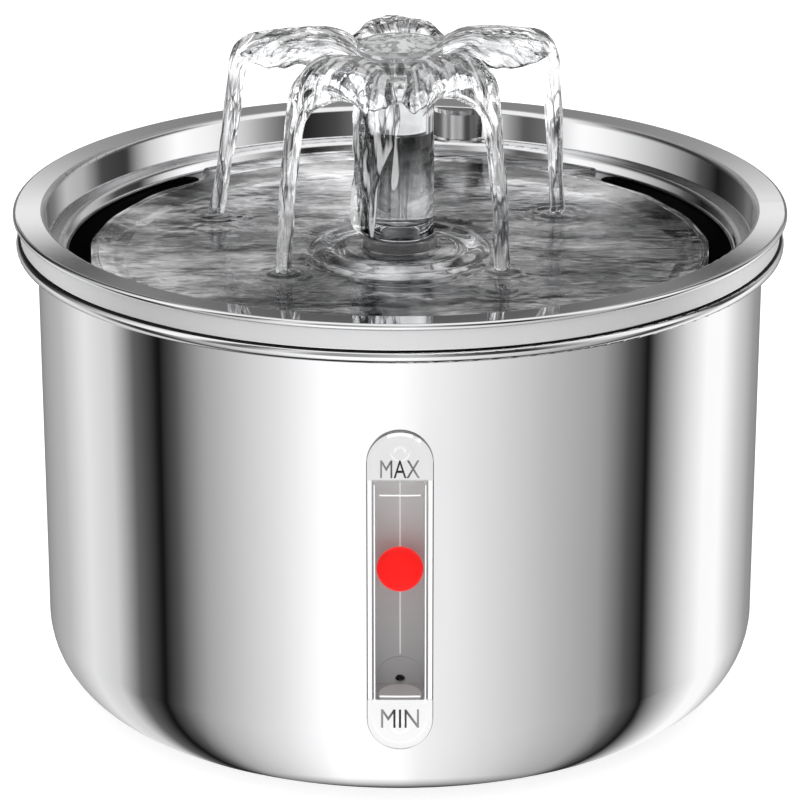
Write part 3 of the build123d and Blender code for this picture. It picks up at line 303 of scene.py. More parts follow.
def clear_tube():
    f = Finish("clear_tube", Transmission_Weight=1.0, IOR=1.49, Base_Color=(0.97, 0.98, 0.985, 1))
    f.feed("Roughness", f.between(f.grain(300, 300, 300, 3), 0.0, 0.03))
    f.feed("Normal", f.relief(f.grain(90, 90, 40, 2), 0.04, 0.3))
    return f.material


def nozzle_glass(name, bare, wet):
    """Wet clear moulding: bare is how clear its plug is, wet how clear the part above the riser is. Its
    plug glows with painted light; its neck has painted dark bands as shade in its slots and its disc a
    painted dark refraction along its top.
    """
    f = Finish(name, IOR=1.38, Emission_Color=(1, 1, 1, 1))
    x, y, z = f.axes()

    def above(height):
        return f.rising(z, height - line_softness, height + line_softness)

    # painted shade: dark bands round the neck; painted dark refraction on top of the disc
    around = f.math("SINE", f.times(f.math("ARCTAN2", y, x), 15.0))
    mottle = f.plus(around, f.between(f.grain(500, 500, 500, 2), -2.4, 2.4))
    neck = f.times(above(neck_foot), f.minus(1.0, above(neck_top)))
    rim = f.times(above(disc_top), 0.55, f.between(f.grain(420, 420, 420, 1), 0.0, 1.0, 0.5, 0.56))
    dark = f.most(f.times(neck, f.between(mottle, 0.0, 0.92, -0.2, 0.3)), rim)
    f.feed("Base Color", f.tint(dark, (0.95, 0.955, 0.96), (0.02, 0.02, 0.02)))
    f.feed("Transmission Weight", f.between(above(plug_top), bare, wet))
    # painted glow: the plug glows softly, the part above it hardly at all
    f.feed("Emission Strength", f.between(above(plug_top), 0.26, 0.03))
    f.feed("Roughness", f.between(f.grain(420, 420, 160, 3), 0.0, 0.12))
    f.feed("Normal", f.relief(f.grain(90, 90, 40, 2), 0.02, 0.3))
    return f.material


def window_glass():
    """Clear window; its plug's ends glow white as painted light, a little dimmer towards the top, and its
    edge is a dark line.
    """
    f = Finish("window_glass", IOR=1.45, Specular_IOR_Level=0.03, Specular_Tint=(0.12, 0.12, 0.12, 1),
               Emission_Color=(1, 1, 1, 1))
    x, y, z = f.axes()
    from_middle = f.apart(z, window_middle * MM)
    at_end = f.math("GREATER_THAN", from_middle, glow_ends_from * MM)
    behind = f.math("GREATER_THAN", y, -plug_face * MM)
    beyond = f.most(f.minus(from_middle, window_half * MM), 0.0)
    edge = f.rising(f.span(x, beyond), window_radius - 0.02, window_radius + 0.06)
    glowing_ends = f.times(at_end, behind, f.minus(1.0, edge))
    clear = f.tint(edge, (0.99, 0.99, 0.99), (0.05, 0.05, 0.055))
    f.feed("Base Color", f.tint(glowing_ends, clear, (0.12, 0.12, 0.12)))
    f.feed("Transmission Weight", f.minus(1.0, glowing_ends))
    # painted light: the ends glow, a little dimmer towards the top
    f.feed("Emission Strength", f.times(glowing_ends, f.between(z, 0.88, 0.72, 25 * MM, 97 * MM)))
    f.feed("Roughness", f.between(f.grain(300, 300, 300, 3), 0.0, 0.02))
    f.feed("Normal", f.relief(f.grain(90, 90, 40, 2), 0.02, 0.2))
    return f.material


def clear_silicone():
    """Soft clear silicone, tinted and a little cloudy."""
    f = Finish("clear_silicone", Transmission_Weight=0.85, IOR=1.41)
    cloud = f.grain(500, 500, 500, 3)
    f.feed("Base Color", f.tint(cloud, (0.66, 0.66, 0.67), (0.924, 0.924, 0.938)))
    f.feed("Roughness", f.between(cloud, 0.06, 0.16))
    return f.material


def flowing_water(name, fine, shade, glint, top, thread, shadow=0.0, rays=0.0):
    """Clear water with painted light. Fine is how many waves there are to a metre, and shade how dark the
    painted soft clouds are, which stand for dark refraction. Below the height top (mm) it has bright
    threads that glow as painted highlights, with painted dark edges; glint is their brightness and thread
    how many there are to a metre. Shadow is how dark the painted shade on the sheets behind the nozzle is.
    Rays is how fine the lines are that run outwards above that height, which carry painted highlights and
    dark edges too."""
    f = Finish(name, Transmission_Weight=1.0, IOR=1.333, Emission_Color=(1, 1, 1, 1))
    x, y, z = f.axes()
    reach = f.span(x, y)
    threads = f.grain(thread, thread, thread * 0.13, 1, 0.4)
    low = f.falling(z, top - 8, top)
    bright = f.times(f.between(threads, 0.0, glint, 0.46, 0.56), low)
    edge = f.times(f.between(f.apart(threads, 0.45), 1.0, 0.0, 0.008, 0.035), low)
    waves = f.relief(f.grain(fine, fine, fine * 0.5, 1, 0.4), 0.7, 1.0)
    if rays:
        spread = f.over(rays, reach)
        fan = f.point(f.times(x, spread), f.times(y, spread), f.times(reach, 130.0))
        fine_lines = {"Vector": fan, "Scale": 1.0, "Detail": 1.5, "Roughness": 0.5}
        lines = f.add("ShaderNodeTexNoise", fine_lines).outputs[0]
        high = f.minus(1.0, low)
        waves = f.relief(lines, 0.3, f.times(high, 0.9), waves)
        edge = f.most(edge, f.times(f.between(f.apart(lines, 0.47), 0.8, 0.0, 0.006, 0.022), high))
        bright = f.most(bright, f.times(f.between(lines, 0.0, 0.3, 0.5, 0.58), high))
    mirrored = f.add("ShaderNodeLightPath").outputs["Is Glossy Ray"]
    # painted highlights: the bright threads and lines glow, except as seen in mirrors
    f.feed("Emission Strength", f.times(bright, f.minus(1.0, mirrored)))
    # painted dark refraction: soft clouds that darken the water
    clouds = f.between(f.grain(120, 120, 170, 2, 0.5), 0.0, 1.0, 0.56, 0.68)
    # painted shade on the sheets behind the nozzle
    behind = f.times(f.between(reach, shadow, 0.0, 22 * MM, 32 * MM), f.rising(y, 1, 6))
    aside = f.rising(f.unsigned(x), 10, 14)
    painted_shade_behind = f.times(behind, aside, f.between(f.grain(80, 80, 260, 2), 0.0, 1.0, 0.47, 0.55))
    tone = f.tint(clouds, (0.985, 0.99, 1.0), (shade, shade, shade))
    return f.done(f.tint(f.most(edge, painted_shade_behind), tone, (0.10, 0.10, 0.105)),
                  f.between(f.grain(200, 200, 200, 2), 0.0, 0.01), waves)


def column_water():
    """Water inside the riser, with painted shade that is dark under the plug and clears towards the foot.
    """
    f = Finish("column_water", Transmission_Weight=1.0, IOR=1.333)
    streaks = f.grain(260, 260, 30, 2)
    # painted shade: darker towards the plug
    depth = f.plus(f.rising(f.axes()[2], 131, 150), f.between(streaks, -0.3, 0.3))
    return f.done(f.tint(depth, (0.80, 0.80, 0.80), (0.05, 0.05, 0.05)), f.between(streaks, 0.0, 0.06),
                  f.relief(streaks, 0.3, 0.6))


def pool_water():
    """Running water in the dish: soft clouds of painted reflection, dark spots and a glow that is stronger
    towards the left back, over the modelled waves.
    """
    f = Finish("pool_water", Transmission_Weight=1.0, IOR=1.333, Emission_Color=(1, 1, 1, 1))
    x, y = f.axes()[:2]
    f.feed("Roughness", f.between(f.grain(150, 150, 150, 2), 0.06, 0.12))
    sky = f.grain(24, 46, 24, 5, 0.66)
    # painted reflection: dark spots of the ripples
    painted_dark_spots = f.between(sky, 0.0, 1.0, 0.40, 0.58)
    f.feed("Base Color", f.tint(painted_dark_spots, (0.18, 0.185, 0.19), (1.0, 1.0, 1.0)))
    # painted highlight: the foam factor makes the water glow, stronger towards the left back
    foam = f.between(sky, 0.0, 0.34, 0.50, 0.66)
    towards_left_back = f.between(f.minus(y, f.times(x, 0.6)), 0.35, 1.0, -20 * MM, 70 * MM)
    f.feed("Emission Strength", f.times(foam, towards_left_back))
    f.feed("Normal", f.relief(f.grain(34, 60, 34, 3, 0.55), 1.6, 0.8))
    return f.material


def float_red():
    f = Finish("float_red", Specular_IOR_Level=0.05)
    speckle = f.grain(700, 700, 700, 2)
    red = f.tint(speckle, (0.90, 0.006, 0.005), (1.0, 0.010, 0.008))
    f.feed("Base Color", red)
    f.feed("Roughness", f.between(speckle, 0.28, 0.36))
    f.feed("Emission Color", red)
    # it glows as painted light, which tints the channel only a little
    diffuse_ray = f.add("ShaderNodeLightPath").outputs["Is Diffuse Ray"]
    f.feed("Emission Strength", f.between(diffuse_ray, 0.62, 0.08))
    return f.material


def gauge_grey():
    """Pale back of the float's channel, which glows softly as painted light and has painted shade that
    darkens it towards its foot.
    """
    f = Finish("gauge_grey", Emission_Strength=0.17)
    x, y, z = f.axes()
    streak = f.grain(70, 70, 900, 2)
    tall = f.rising(z, channel_floor, channel_top)
    # painted shade: darker towards the foot
    shade = f.plus(f.between(tall, 0.40, 0.66), f.between(streak, -0.02, 0.02))
    oval = f.span(f.over(x, oval_across * MM), f.over(f.plus(y, channel_back * MM), oval_deep * MM))
    on_floor = f.falling(z, channel_floor + 0.6, channel_floor + 0.7)
    floor_disc = f.times(f.between(oval, 0.26, 0.0, 0.97, 1.0), on_floor)
    tone = f.tint(f.plus(shade, floor_disc), (0, 0, 0), (1.0, 1.0, 1.0))
    f.feed("Base Color", tone)
    f.feed("Emission Color", tone)
    f.feed("Roughness", f.between(streak, 0.35, 0.5))
    return f.material


def soft_rubber(name, dark, light):
    f = Finish(name)
    bloom = f.grain(260, 260, 260, 5)
    return f.done(f.tint(bloom, dark, light), f.between(bloom, 0.55, 0.75),
                  f.relief(f.grain(2600, 2600, 2600, 2), 0.03, 0.3))


def moulded_plastic(name, dark, light, low=0.36, high=0.5):
    f = Finish(name)
    flow = f.grain(50, 50, 120, 3)
    return f.done(f.tint(flow, dark, light), f.between(flow, low, high),
                  f.relief(f.grain(3200, 3200, 3200, 2), 0.02, 0.35))


def open_foam():
    f = Finish("open_foam")
    pores = f.cells(1.1)
    return f.done(f.tint(pores, (0.03, 0.032, 0.035), (0.14, 0.15, 0.16)), f.between(pores, 0.8, 0.95),
                  f.relief(pores, 0.6, 1.0))


def carbon_grains():
    f = Finish("carbon_grains")
    grains = f.cells(0.9)
    return f.done(f.tint(f.grain(800, 800, 800, 2), (0.02, 0.02, 0.02), (0.75, 0.74, 0.7)),
                  f.between(grains, 0.5, 0.9), f.relief(grains, 0.5, 1.0))


def copper_winding():
    f = Finish("copper_winding", Metallic=0.9)
    turns = f.add("ShaderNodeTexWave", {"Vector": f.stretched(1000 / 0.35, 0, 0), "Scale": 0.5,
                  "Distortion": 0.4}, bands_direction="X").outputs["Fac"]
    return f.done(f.tint(turns, (0.22, 0.07, 0.02), (0.72, 0.34, 0.14)), f.between(turns, 0.45, 0.25),
                  f.relief(turns, 0.15, 1.0))


def stacked_sheets():
    f = Finish("stacked_sheets", Metallic=0.8)
    sheets = f.add("ShaderNodeTexWave", {"Vector": f.stretched(0, 1000 / 0.5, 0), "Scale": 0.5,
                   "Distortion": 0.1}, bands_direction="Y").outputs["Fac"]
    return f.done(f.tint(sheets, (0.12, 0.12, 0.13), (0.34, 0.34, 0.35)),
                  f.between(f.grain(400, 400, 400), 0.4, 0.6), f.relief(sheets, 0.1, 0.8))


def ground_finish(name, dark, light, metallic=0.0, low=0.25, high=0.45):
    f = Finish(name, Metallic=metallic)
    grind = f.grain(180, 2400, 180, 3)
    return f.done(f.tint(grind, dark, light), f.between(grind, low, high), f.relief(grind, 0.02, 0.3))


def printed_grey():
    """Bright metal foil of the level marks, darker in the middle as a painted reflection."""
    f = Finish("printed_grey", Metallic=0.4)
    off_middle = f.rising(f.apart(f.axes()[0], -0.1 * MM), 0.0, 4.4)
    # painted reflection: darkest in the middle
    f.feed("Base Color", ramp(f, off_middle, [(0.0, 0.012), (0.28, 0.02), (0.5, 0.16), (1.0, 0.32)]))
    f.feed("Roughness", f.between(f.grain(900, 900, 900), 0.3, 0.4))
    return f.material


def white_line(name, glow):
    # the lines glow: painted light that keeps them white
    f = Finish(name, Emission_Strength=glow, Emission_Color=(1, 1, 1, 1))
    edge = f.grain(1200, 1200, 1200)
    f.feed("Base Color", f.tint(edge, (0.86, 0.86, 0.86), (0.95, 0.95, 0.95)))
    f.feed("Roughness", f.between(edge, 0.4, 0.6))
    return f.material


finish = {
    "steel": polished_steel(),
    "lens": window_glass(),
    "tube": clear_tube(),
    "nozzle": nozzle_glass("clear_nozzle", 0.35, 0.96),
    "cap": nozzle_glass("frosted_cap", 0.6, 0.35),
    "float": float_red(),
    "gauge": gauge_grey(),
    "silicone": soft_rubber("black_silicone", (0.018, 0.018, 0.02), (0.05, 0.05, 0.053)),
    "white": moulded_plastic("white_moulding", (0.78, 0.79, 0.79), (0.86, 0.87, 0.87)),
    "black": moulded_plastic("black_moulding", (0.022, 0.022, 0.025), (0.05, 0.05, 0.055)),
    "vane": moulded_plastic("impeller_moulding", (0.72, 0.72, 0.70), (0.82, 0.82, 0.80)),
    "bush": moulded_plastic("bush_moulding", (0.14, 0.14, 0.14), (0.24, 0.24, 0.24)),
    "foam": open_foam(),
    "media": carbon_grains(),
    "coil": copper_winding(),
    "core": stacked_sheets(),
    "magnet": ground_finish("sintered_magnet", (0.06, 0.06, 0.065), (0.13, 0.13, 0.13), 0.3, 0.35, 0.55),
    "ceramic": ground_finish("ceramic_shaft", (0.84, 0.84, 0.82), (0.92, 0.92, 0.90), 0.0, 0.12, 0.22),
    "screw": ground_finish("screw_steel", (0.48, 0.48, 0.49), (0.66, 0.66, 0.67), 1.0, 0.2, 0.35),
    "foil": printed_grey(),
    "line": white_line("white_line", 0.5),
    "thread": white_line("pale_thread", 0.32),
    "pool": pool_water(),
    "column": column_water(),
    "film": flowing_water("film_water", 300, 0.9, 0.42, 168, 460),
    "petal": flowing_water("petal_water", 190, 0.7, 0.22, 164, 320, 0.8, 17.0),
    "collar": clear_silicone(),
}

worn_by = {
    "steel": ["bowl", "tray"],
    "lens": ["window_lens"],
    "tube": ["riser_tube"],
    "nozzle": ["flower_nozzle"],
    "cap": ["nozzle_cap"],
    "float": ["float_ball"],
    "gauge": ["gauge_chamber"],
    "collar": ["tray_collar"],
    "silicone": ["anti_slip_ring", "window_gasket", "suction_cups", "riser_ring", "pump_feet",
                 "cable_gland"],
    "white": ["filter_base", "filter_lid", "lid_grid", "lid_sleeve", "cartridge_shell", "cartridge_core",
              "cartridge_cover"],
    "media": ["cartridge_media"],
    "foam": ["intake_foam"],
    "black": ["pump_body", "pump_outlet", "pump_back_cover", "pump_cover", "intake_grille", "flow_dial",
              "outlet_adapter"],
    "vane": ["impeller"],
    "core": ["stator_core"],
    "coil": ["stator_coil"],
    "magnet": ["rotor_magnet"],
    "ceramic": ["impeller_shaft"],
    "bush": ["front_bush", "rear_bush"],
    "screw": ["gauge_screws"],
}
for look, members in worn_by.items():
    for member in members:
        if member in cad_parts:
            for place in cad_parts[member].material_slots:
                place.material = finish[look]


# ---------------------------------------------------------------- making meshes
def new_object(name, data):
    made = bpy.data.objects.new(name, data)
    bpy.context.scene.collection.objects.link(made)
    return made


def settled(made, body):
    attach(made, body)
    return made


def piece(name, points, faces, look, body, smooth=True):
    """A mesh piece from points in millimetres, which rides on a body."""
    mesh = bpy.data.meshes.new(name)
    mesh.from_pydata([Vector(p) * MM for p in points], [], faces)
    mesh.materials.append(finish[look])
    if smooth:
        mesh.shade_smooth()
    else:
        mesh.shade_flat()
    return settled(new_object(name, mesh), body)


def ring_faces(rings, turns, base=0, inwards=False):
    """Faces between rings of points that close round the turn."""
    faces = []
    for j in range(rings):
        for i in range(turns):
            k = (i + 1) % turns
            a, b, c, d = (base + row * turns + n for row, n in ((j, i), (j + 1, i), (j + 1, k), (j, k)))
            faces.append((a, d, c, b) if inwards else (a, b, c, d))
    return faces


def real_mesh(made):
    """Plain mesh of an object as its curve or modifier shapes it."""
    bpy.context.view_layer.update()
    return bpy.data.meshes.new_from_object(made.evaluated_get(bpy.context.evaluated_depsgraph_get()))


class Shape(Nodes):
    """A geometry tree with named sizes, which gives plain meshes in one material."""

    def __init__(self, name, sizes):
        super().__init__(bpy.data.node_groups.new(name, "GeometryNodeTree"))
        face = self.tree.interface
        face.new_socket("Geometry", in_out="OUTPUT", socket_type="NodeSocketGeometry")
        self.keys = {}
        for size, value in sizes.items():
            socket = face.new_socket(size, in_out="INPUT", socket_type="NodeSocketFloat")
            socket.default_value = value
            self.keys[size] = socket.identifier
        self.size = self.add("NodeGroupInput").outputs

    def end(self, geometry, look):
        whole = self.add("GeometryNodeRealizeInstances", {"Geometry": geometry}).outputs["Geometry"]
        worn = self.add("GeometryNodeSetMaterial", {"Geometry": whole, "Material": finish[look]})
        self.add("NodeGroupOutput", {"Geometry": worn.outputs["Geometry"]})

    def made(self, name, body, slot, **sizes):
        made = new_object(name, bpy.data.meshes.new(name))
        step = made.modifiers.new("shape", "NODES")
        step.node_group = self.tree
        for size, value in sizes.items():
            step[self.keys[size]] = float(value)
        mesh = real_mesh(made)
        made.modifiers.remove(step)
        made.data = mesh
        mesh.shade_smooth()
        return settled(made, body)


def eased(keys, t):
    """Value between keys of (place, value, ...) by a smooth cubic through them."""
    places = [k[0] for k in keys]
    i = max(0, min(len(keys) - 2, sum(p <= t for p in places) - 1))
    a, b, c, d = (keys[max(0, min(len(keys) - 1, j))] for j in (i - 1, i, i + 1, i + 2))
    span = c[0] - b[0]
    u = (t - b[0]) / span
    values = []
    for n in range(1, len(b)):
        m0 = (c[n] - a[n]) / (c[0] - a[0]) * span
        m1 = (d[n] - b[n]) / (d[0] - b[0]) * span
        values.append((2 * u**3 - 3 * u**2 + 1) * b[n] + (u**3 - 2 * u**2 + u) * m0
                      + (-2 * u**3 + 3 * u**2) * c[n] + (u**3 - u**2) * m1)
    return values


# ---------------------------------------------------------------- pool in the dish
# heights, radii and lengths in millimetres
pool_level = 120.45
collar_radius = 9.65
collar_gap = 0.05
wall_edge = 86.7
slot_edge = 80.3
slot_reach = radians(47.5)
slot_end = radians(5)
slot_chatter = 0.25
landings = [(-49.0, 27.0), (-29.5, -24.6), (26.0, -22.0), (41.6, 27.0), (-1.0, 44.0)]
pool_turns, pool_rings, bed_rings = 400, 130, 26
# the dish under the water: radius, height
bed_profile = [(8, 120.0), (13, 120.0), (17, 118.0), (21, 115.3), (26, 114.0), (40, 114.0), (68, 114.0),
               (74, 115.0), (77, 118.2), (79.5, 119.9), (83, 120.0), (87, 120.0)]
below_bed = 0.3
# how high the water climbs at the collar and the wall or dips over a slot, and how far out that reaches
collar_climb, wall_climb, slot_dip = (0.35, 0.6), (0.3, 0.6), (-0.56, 0.9)
# height, radius and length of the wave round the riser; height, reach and length of those at a landing
ring_height, ring_radius, ring_length = 0.40, 20.0, 7.0
splash_height, splash_reach, splash_length = 0.34, 4.5, 3.4
hump_height, hump_width = 0.7, 2.4
swell_height, chop_height = 0.50, 0.14


def pool_edge(angle):
    """Outer edge of the water: the wall, or the edge of a drain slot."""
    off = abs(atan2(sin(angle), cos(angle)))
    off = min(off, pi - off)
    share = min(1.0, max(0.0, (off - slot_reach) / slot_end))
    share = share * share * (3 - 2 * share)
    return slot_edge + (wall_edge - slot_edge) * share + slot_chatter * sin(angle * 23) * (1 - share)


def ripple(x, y):
    """Height of the waves above the level: rings round the riser and each landing, and a swell."""
    r = hypot(x, y)
    off = r - ring_radius
    rise = ring_height * exp(-(off / ring_length) ** 2) * cos(2 * pi * off / ring_length)
    for lx, ly in landings:
        d = hypot(x - lx, y - ly)
        splash = splash_height * exp(-d / splash_reach) * cos(2 * pi * d / splash_length)
        rise += splash + hump_height * exp(-(d / hump_width) ** 2)
    swell = noise.noise(Vector((x / 24, y / 18, 3.1)))
    chop = noise.noise(Vector((x / 11, y / 9, 9.7)))
    return rise + (swell_height * swell + chop_height * chop) * min(1.0, max(0.0, (r - 12) / 14))


def climb(off, height, reach):
    """How much higher the water is at a distance from its shore."""
    return height * exp(-off / reach)


def make_pool():
    """The water climbs a little at the collar and the wall, and bends down over the slots."""
    points = []
    for rings, is_bed in ((pool_rings, False), (bed_rings, True)):
        for j in range(rings + 1):
            for i in range(pool_turns):
                angle = 2 * pi * i / pool_turns
                edge = pool_edge(angle)
                r = collar_radius + (edge - collar_radius) * j / rings
                x, y = r * cos(angle), r * sin(angle)
                if is_bed:
                    points.append((x, y, eased(bed_profile, r)[0] - below_bed))
                    continue
                at_collar = climb(r - collar_radius + collar_gap, *collar_climb)
                at_edge = climb(edge - r, *(slot_dip if edge < wall_edge - 1 else wall_climb))
                points.append((x, y, pool_level + ripple(x, y) + at_collar + at_edge))
    bed = (pool_rings + 1) * pool_turns
    faces = ring_faces(pool_rings, pool_turns) + ring_faces(bed_rings, pool_turns, bed, inwards=True)
    last, last_of_bed = pool_rings * pool_turns, bed + bed_rings * pool_turns
    for i in range(pool_turns):
        k = (i + 1) % pool_turns
        faces.append((i, k, bed + k, bed + i))
        faces.append((last + i, last_of_bed + i, last_of_bed + k, last + k))
    piece("pool_surface", points, faces, "pool", "tray_unit")


make_pool()


# ---------------------------------------------------------------- flower of water
# A petal is a thin arched sheet that leaves its port, bends over and closes to a falling rope.
# Rows along it: place, share of the way out, height, half width, sag of its sides, half thickness.
# Each table starts with the distance from the axis at which its rows were laid out to land.
port_reach = 6.5
path_points, round_points, curve_steps = 230, 61, 26
petal_plain = {"Width": 1.0, "Drift": 0.0, "Rise": 0.4, "Sag": 1.0, "Lean": 0.0}
sheet_rows = {
    "front": (38.3, [
        (0.00, 0.000, 164.8, 3.6, 0.6, 1.3), (0.08, 0.094, 167.6, 8.8, 6.6, 1.2),
        (0.18, 0.252, 172.0, 12.0, 9.8, 1.1), (0.28, 0.440, 174.2, 12.0, 10.6, 1.2),
        (0.38, 0.629, 174.4, 12.0, 11.6, 1.3), (0.47, 0.786, 172.2, 11.2, 10.6, 1.3),
        (0.55, 0.874, 168.0, 8.0, 6.4, 1.5), (0.62, 0.906, 161.5, 3.6, 0.6, 1.8),
        (0.72, 0.934, 150.0, 2.2, 0.2, 1.8), (0.86, 0.972, 135.0, 1.8, 0.1, 1.7),
        (1.00, 1.000, 120.0, 1.8, 0.0, 1.7),
    ]),
    "back": (56.0, [
        (0.00, 0.000, 164.8, 2.4, 0.5, 1.3), (0.07, 0.061, 167.6, 5.2, 2.0, 1.4),
        (0.15, 0.152, 171.6, 8.4, 5.0, 1.3), (0.24, 0.283, 173.8, 10.0, 7.6, 1.2),
        (0.34, 0.455, 173.4, 10.4, 8.8, 1.2), (0.44, 0.636, 171.6, 9.2, 7.6, 1.3),
        (0.53, 0.776, 168.9, 6.6, 4.4, 1.5), (0.60, 0.842, 163.4, 3.8, 1.7, 1.8),
        (0.70, 0.880, 152.0, 2.2, 0.4, 1.9), (0.85, 0.935, 136.0, 1.8, 0.1, 1.7),
        (1.00, 1.000, 120.0, 1.8, 0.0, 1.7),
    ]),
}


def petal_shape(name, far, rows):
    """Geometry tree of one petal: a grid laid along its path, which is closed to a point at both ends."""
    g = Shape(name, {"Start Heading": 0, "End Heading": 0, "Reach": far, "Seed": 0, **petal_plain})
    grid = g.add("GeometryNodeMeshGrid", {"Size X": 1.0, "Size Y": 1.0, "Vertices X": path_points,
                                          "Vertices Y": round_points})
    px, py = g.add("ShaderNodeSeparateXYZ", {0: g.add("GeometryNodeInputPosition").outputs[0]}).outputs[:2]
    t = g.plus(px, 0.5)
    turn = g.times(py, 2 * pi)
    side, face = g.math("SINE", turn), g.math("COSINE", turn)

    def smooth(low, high, t_low, t_high):
        return g.between(t, low, high, t_low, t_high, "SMOOTHSTEP")

    def along(measure, low, high):
        """Float curve of one measure of the path against the place along it."""
        node = g.add("ShaderNodeFloatCurve", {"Value": t})
        line = node.mapping.curves[0].points
        stations = [n / curve_steps for n in range(curve_steps + 1)]
        places = [(u, (measure(u) - low) / (high - low)) for u in stations]
        line[0].location, line[1].location = places[0], places[-1]
        for place in places[1:-1]:
            line.new(*place)
        node.mapping.update()
        return g.between(node.outputs[0], low, high)

    def column(number, low, high):
        return along(lambda u: max(low, eased(rows, u)[number]), low, high)

    def lean(u):
        a, b = eased(rows, max(0.0, u - 0.01)), eased(rows, min(1.0, u + 0.01))
        return atan2(b[1] - a[1], (b[0] - a[0]) * (far - port_reach))

    def waves(first, cycles, phase, size):
        angle = g.plus(g.times(turn, float(first)), g.times(t, float(cycles)))
        return g.times(g.math("SINE", g.plus(angle, g.times(g.size["Seed"], phase))), size)

    share = along(lambda u: eased(rows, u)[0], 0.0, 1.0)
    drift = g.times(smooth(0.0, 1.0, 0.3, 0.68), g.size["Drift"])
    share = g.plus(share, g.times(g.minus(1.0, share), drift))
    out = g.plus(port_reach, g.times(share, g.minus(g.size["Reach"], port_reach)))
    arch = g.times(smooth(0.0, 1.0, 0.02, 0.22), smooth(1.0, 0.0, 0.4, 0.8))
    height = g.plus(column(1, 115.0, 180.0), g.times(arch, g.size["Rise"]))
    half = g.times(column(2, 0.0, 12.0), g.size["Width"])
    sag = g.times(column(3, 0.0, 12.0), g.size["Sag"])
    thick = column(4, 0.0, 3.0)
    slope = along(lean, -2.0, 1.5)
    ends = g.math("SQRT", g.times(g.between(t, 0.0, 1.0, 0.0, 0.012), g.between(t, 1.0, 0.0, 0.99, 1.0)))
    around = g.add("ShaderNodeCombineXYZ", {0: g.times(side, 1.3), 1: face, 2: g.times(t, 11.0)}).outputs[0]
    lump = g.add("ShaderNodeTexNoise", {"Vector": around, "W": g.size["Seed"], "Scale": 1.0, "Detail": 1.0},
                 noise_dimensions="4D").outputs[0]
    uneven = g.between(lump, 0.72, 1.28)
    ridges = g.plus(waves(5, 9, 1.7, 0.24), g.plus(waves(9, -17, 0.9, 0.16), 1.0))
    body = g.times(g.times(thick, face), g.times(ridges, uneven))
    outline = g.times(half, side, g.between(uneven, 0.86, 1.14, 0.72, 1.28))
    across = g.plus(outline, g.times(arch, g.size["Lean"]))
    drop = g.times(sag, g.times(side, side, uneven))
    tilt = g.over(g.times(sag, side, 2.0), half)
    normal = g.times(g.over(1.0, g.math("SQRT", g.plus(1.0, g.times(tilt, tilt)))), body)
    wide = g.times(g.plus(across, g.times(tilt, normal)), ends)
    tall = g.times(g.minus(normal, drop), ends)
    turned = g.times(smooth(0.0, 1.0, 0.0, 0.3), g.minus(g.size["End Heading"], g.size["Start Heading"]))
    heading = g.math("RADIANS", g.plus(g.size["Start Heading"], turned))
    from_axis = g.minus(out, g.times(g.math("SINE", slope), tall))
    level = g.plus(height, g.times(g.math("COSINE", slope), tall))
    c, s = g.math("COSINE", heading), g.math("SINE", heading)
    place = g.add("ShaderNodeCombineXYZ", {
        0: g.minus(g.times(from_axis, c), g.times(wide, s)),
        1: g.plus(g.times(from_axis, s), g.times(wide, c)),
        2: level,
    }).outputs[0]
    metres = g.add("ShaderNodeVectorMath", {0: place, "Scale": MM}, operation="SCALE").outputs[0]
    flat = grid.outputs["Mesh"]
    laid = g.add("GeometryNodeSetPosition", {"Geometry": flat, "Position": metres}).outputs[0]
    closed = g.add("GeometryNodeMergeByDistance", {"Geometry": laid, "Distance": 0.004 * MM}).outputs[0]
    g.end(closed, "petal")
    return g


shapes = {name: petal_shape(name + "_petal", *table) for name, table in sheet_rows.items()}
petals = [  # name, rows, heading of its port, landing, sizes that aren't plain
    ("petal_left_back", "back", 162, landings[0], {"Sag": 0.8}),
    ("petal_left_front", "front", 234, landings[1], {"Lean": 3.6}),
    ("petal_right_front", "front", 306, landings[2], {"Lean": -3.6}),
    ("petal_right_back", "back", 18, landings[3], {"Drift": 0.7, "Sag": 0.8}),
    ("petal_back", "back", 90, landings[4], {"Width": 1.15, "Drift": 0.3, "Sag": 0.45}),
]
for number, (name, table, port, (lx, ly), sizes) in enumerate(petals):
    shapes[table].made(name, "flower_head", "clear_plastic", **{
        "Start Heading": port, "End Heading": degrees(atan2(ly, lx)) % 360, "Reach": hypot(lx, ly),
        "Seed": number * 3.7 + 1.0, **petal_plain, **sizes})


# ---------------------------------------------------------------- water in and on the riser
riser_skin = 8.70  # radius just inside the tube's face, on which the film lies
column_turns = 96
# headings in degrees at which the film begins and ends at its top; half the width of the drip
film_start, film_end, drip_half = 146, 268, 6
# heading, thickness and width in degrees of the heavy rope of water and of the thin one
rope_heading, rope_depth, rope_width = 186, 3.0, 22
thread_heading, thread_depth, thread_width = 233, 1.1, 8
film_least = 0.45


def turned(name, profile, look, body):
    """A closed shape turned from (radius, height) points, given from its foot on the axis to its top."""
    points = [(0, 0, profile[0][1])]
    rings = profile[1:-1]
    for r, z in rings:
        for i in range(column_turns):
            a = 2 * pi * i / column_turns
            points.append((r * cos(a), r * sin(a), z))
    points.append((0, 0, profile[-1][1]))
    top = len(points) - 1
    last = top - column_turns
    faces = ring_faces(len(rings) - 1, column_turns, 1, inwards=True)
    for i in range(column_turns):
        k = (i + 1) % column_turns
        faces += [(0, 1 + k, 1 + i), (top, last + i, last + k)]
    return piece(name, points, faces, look, body)


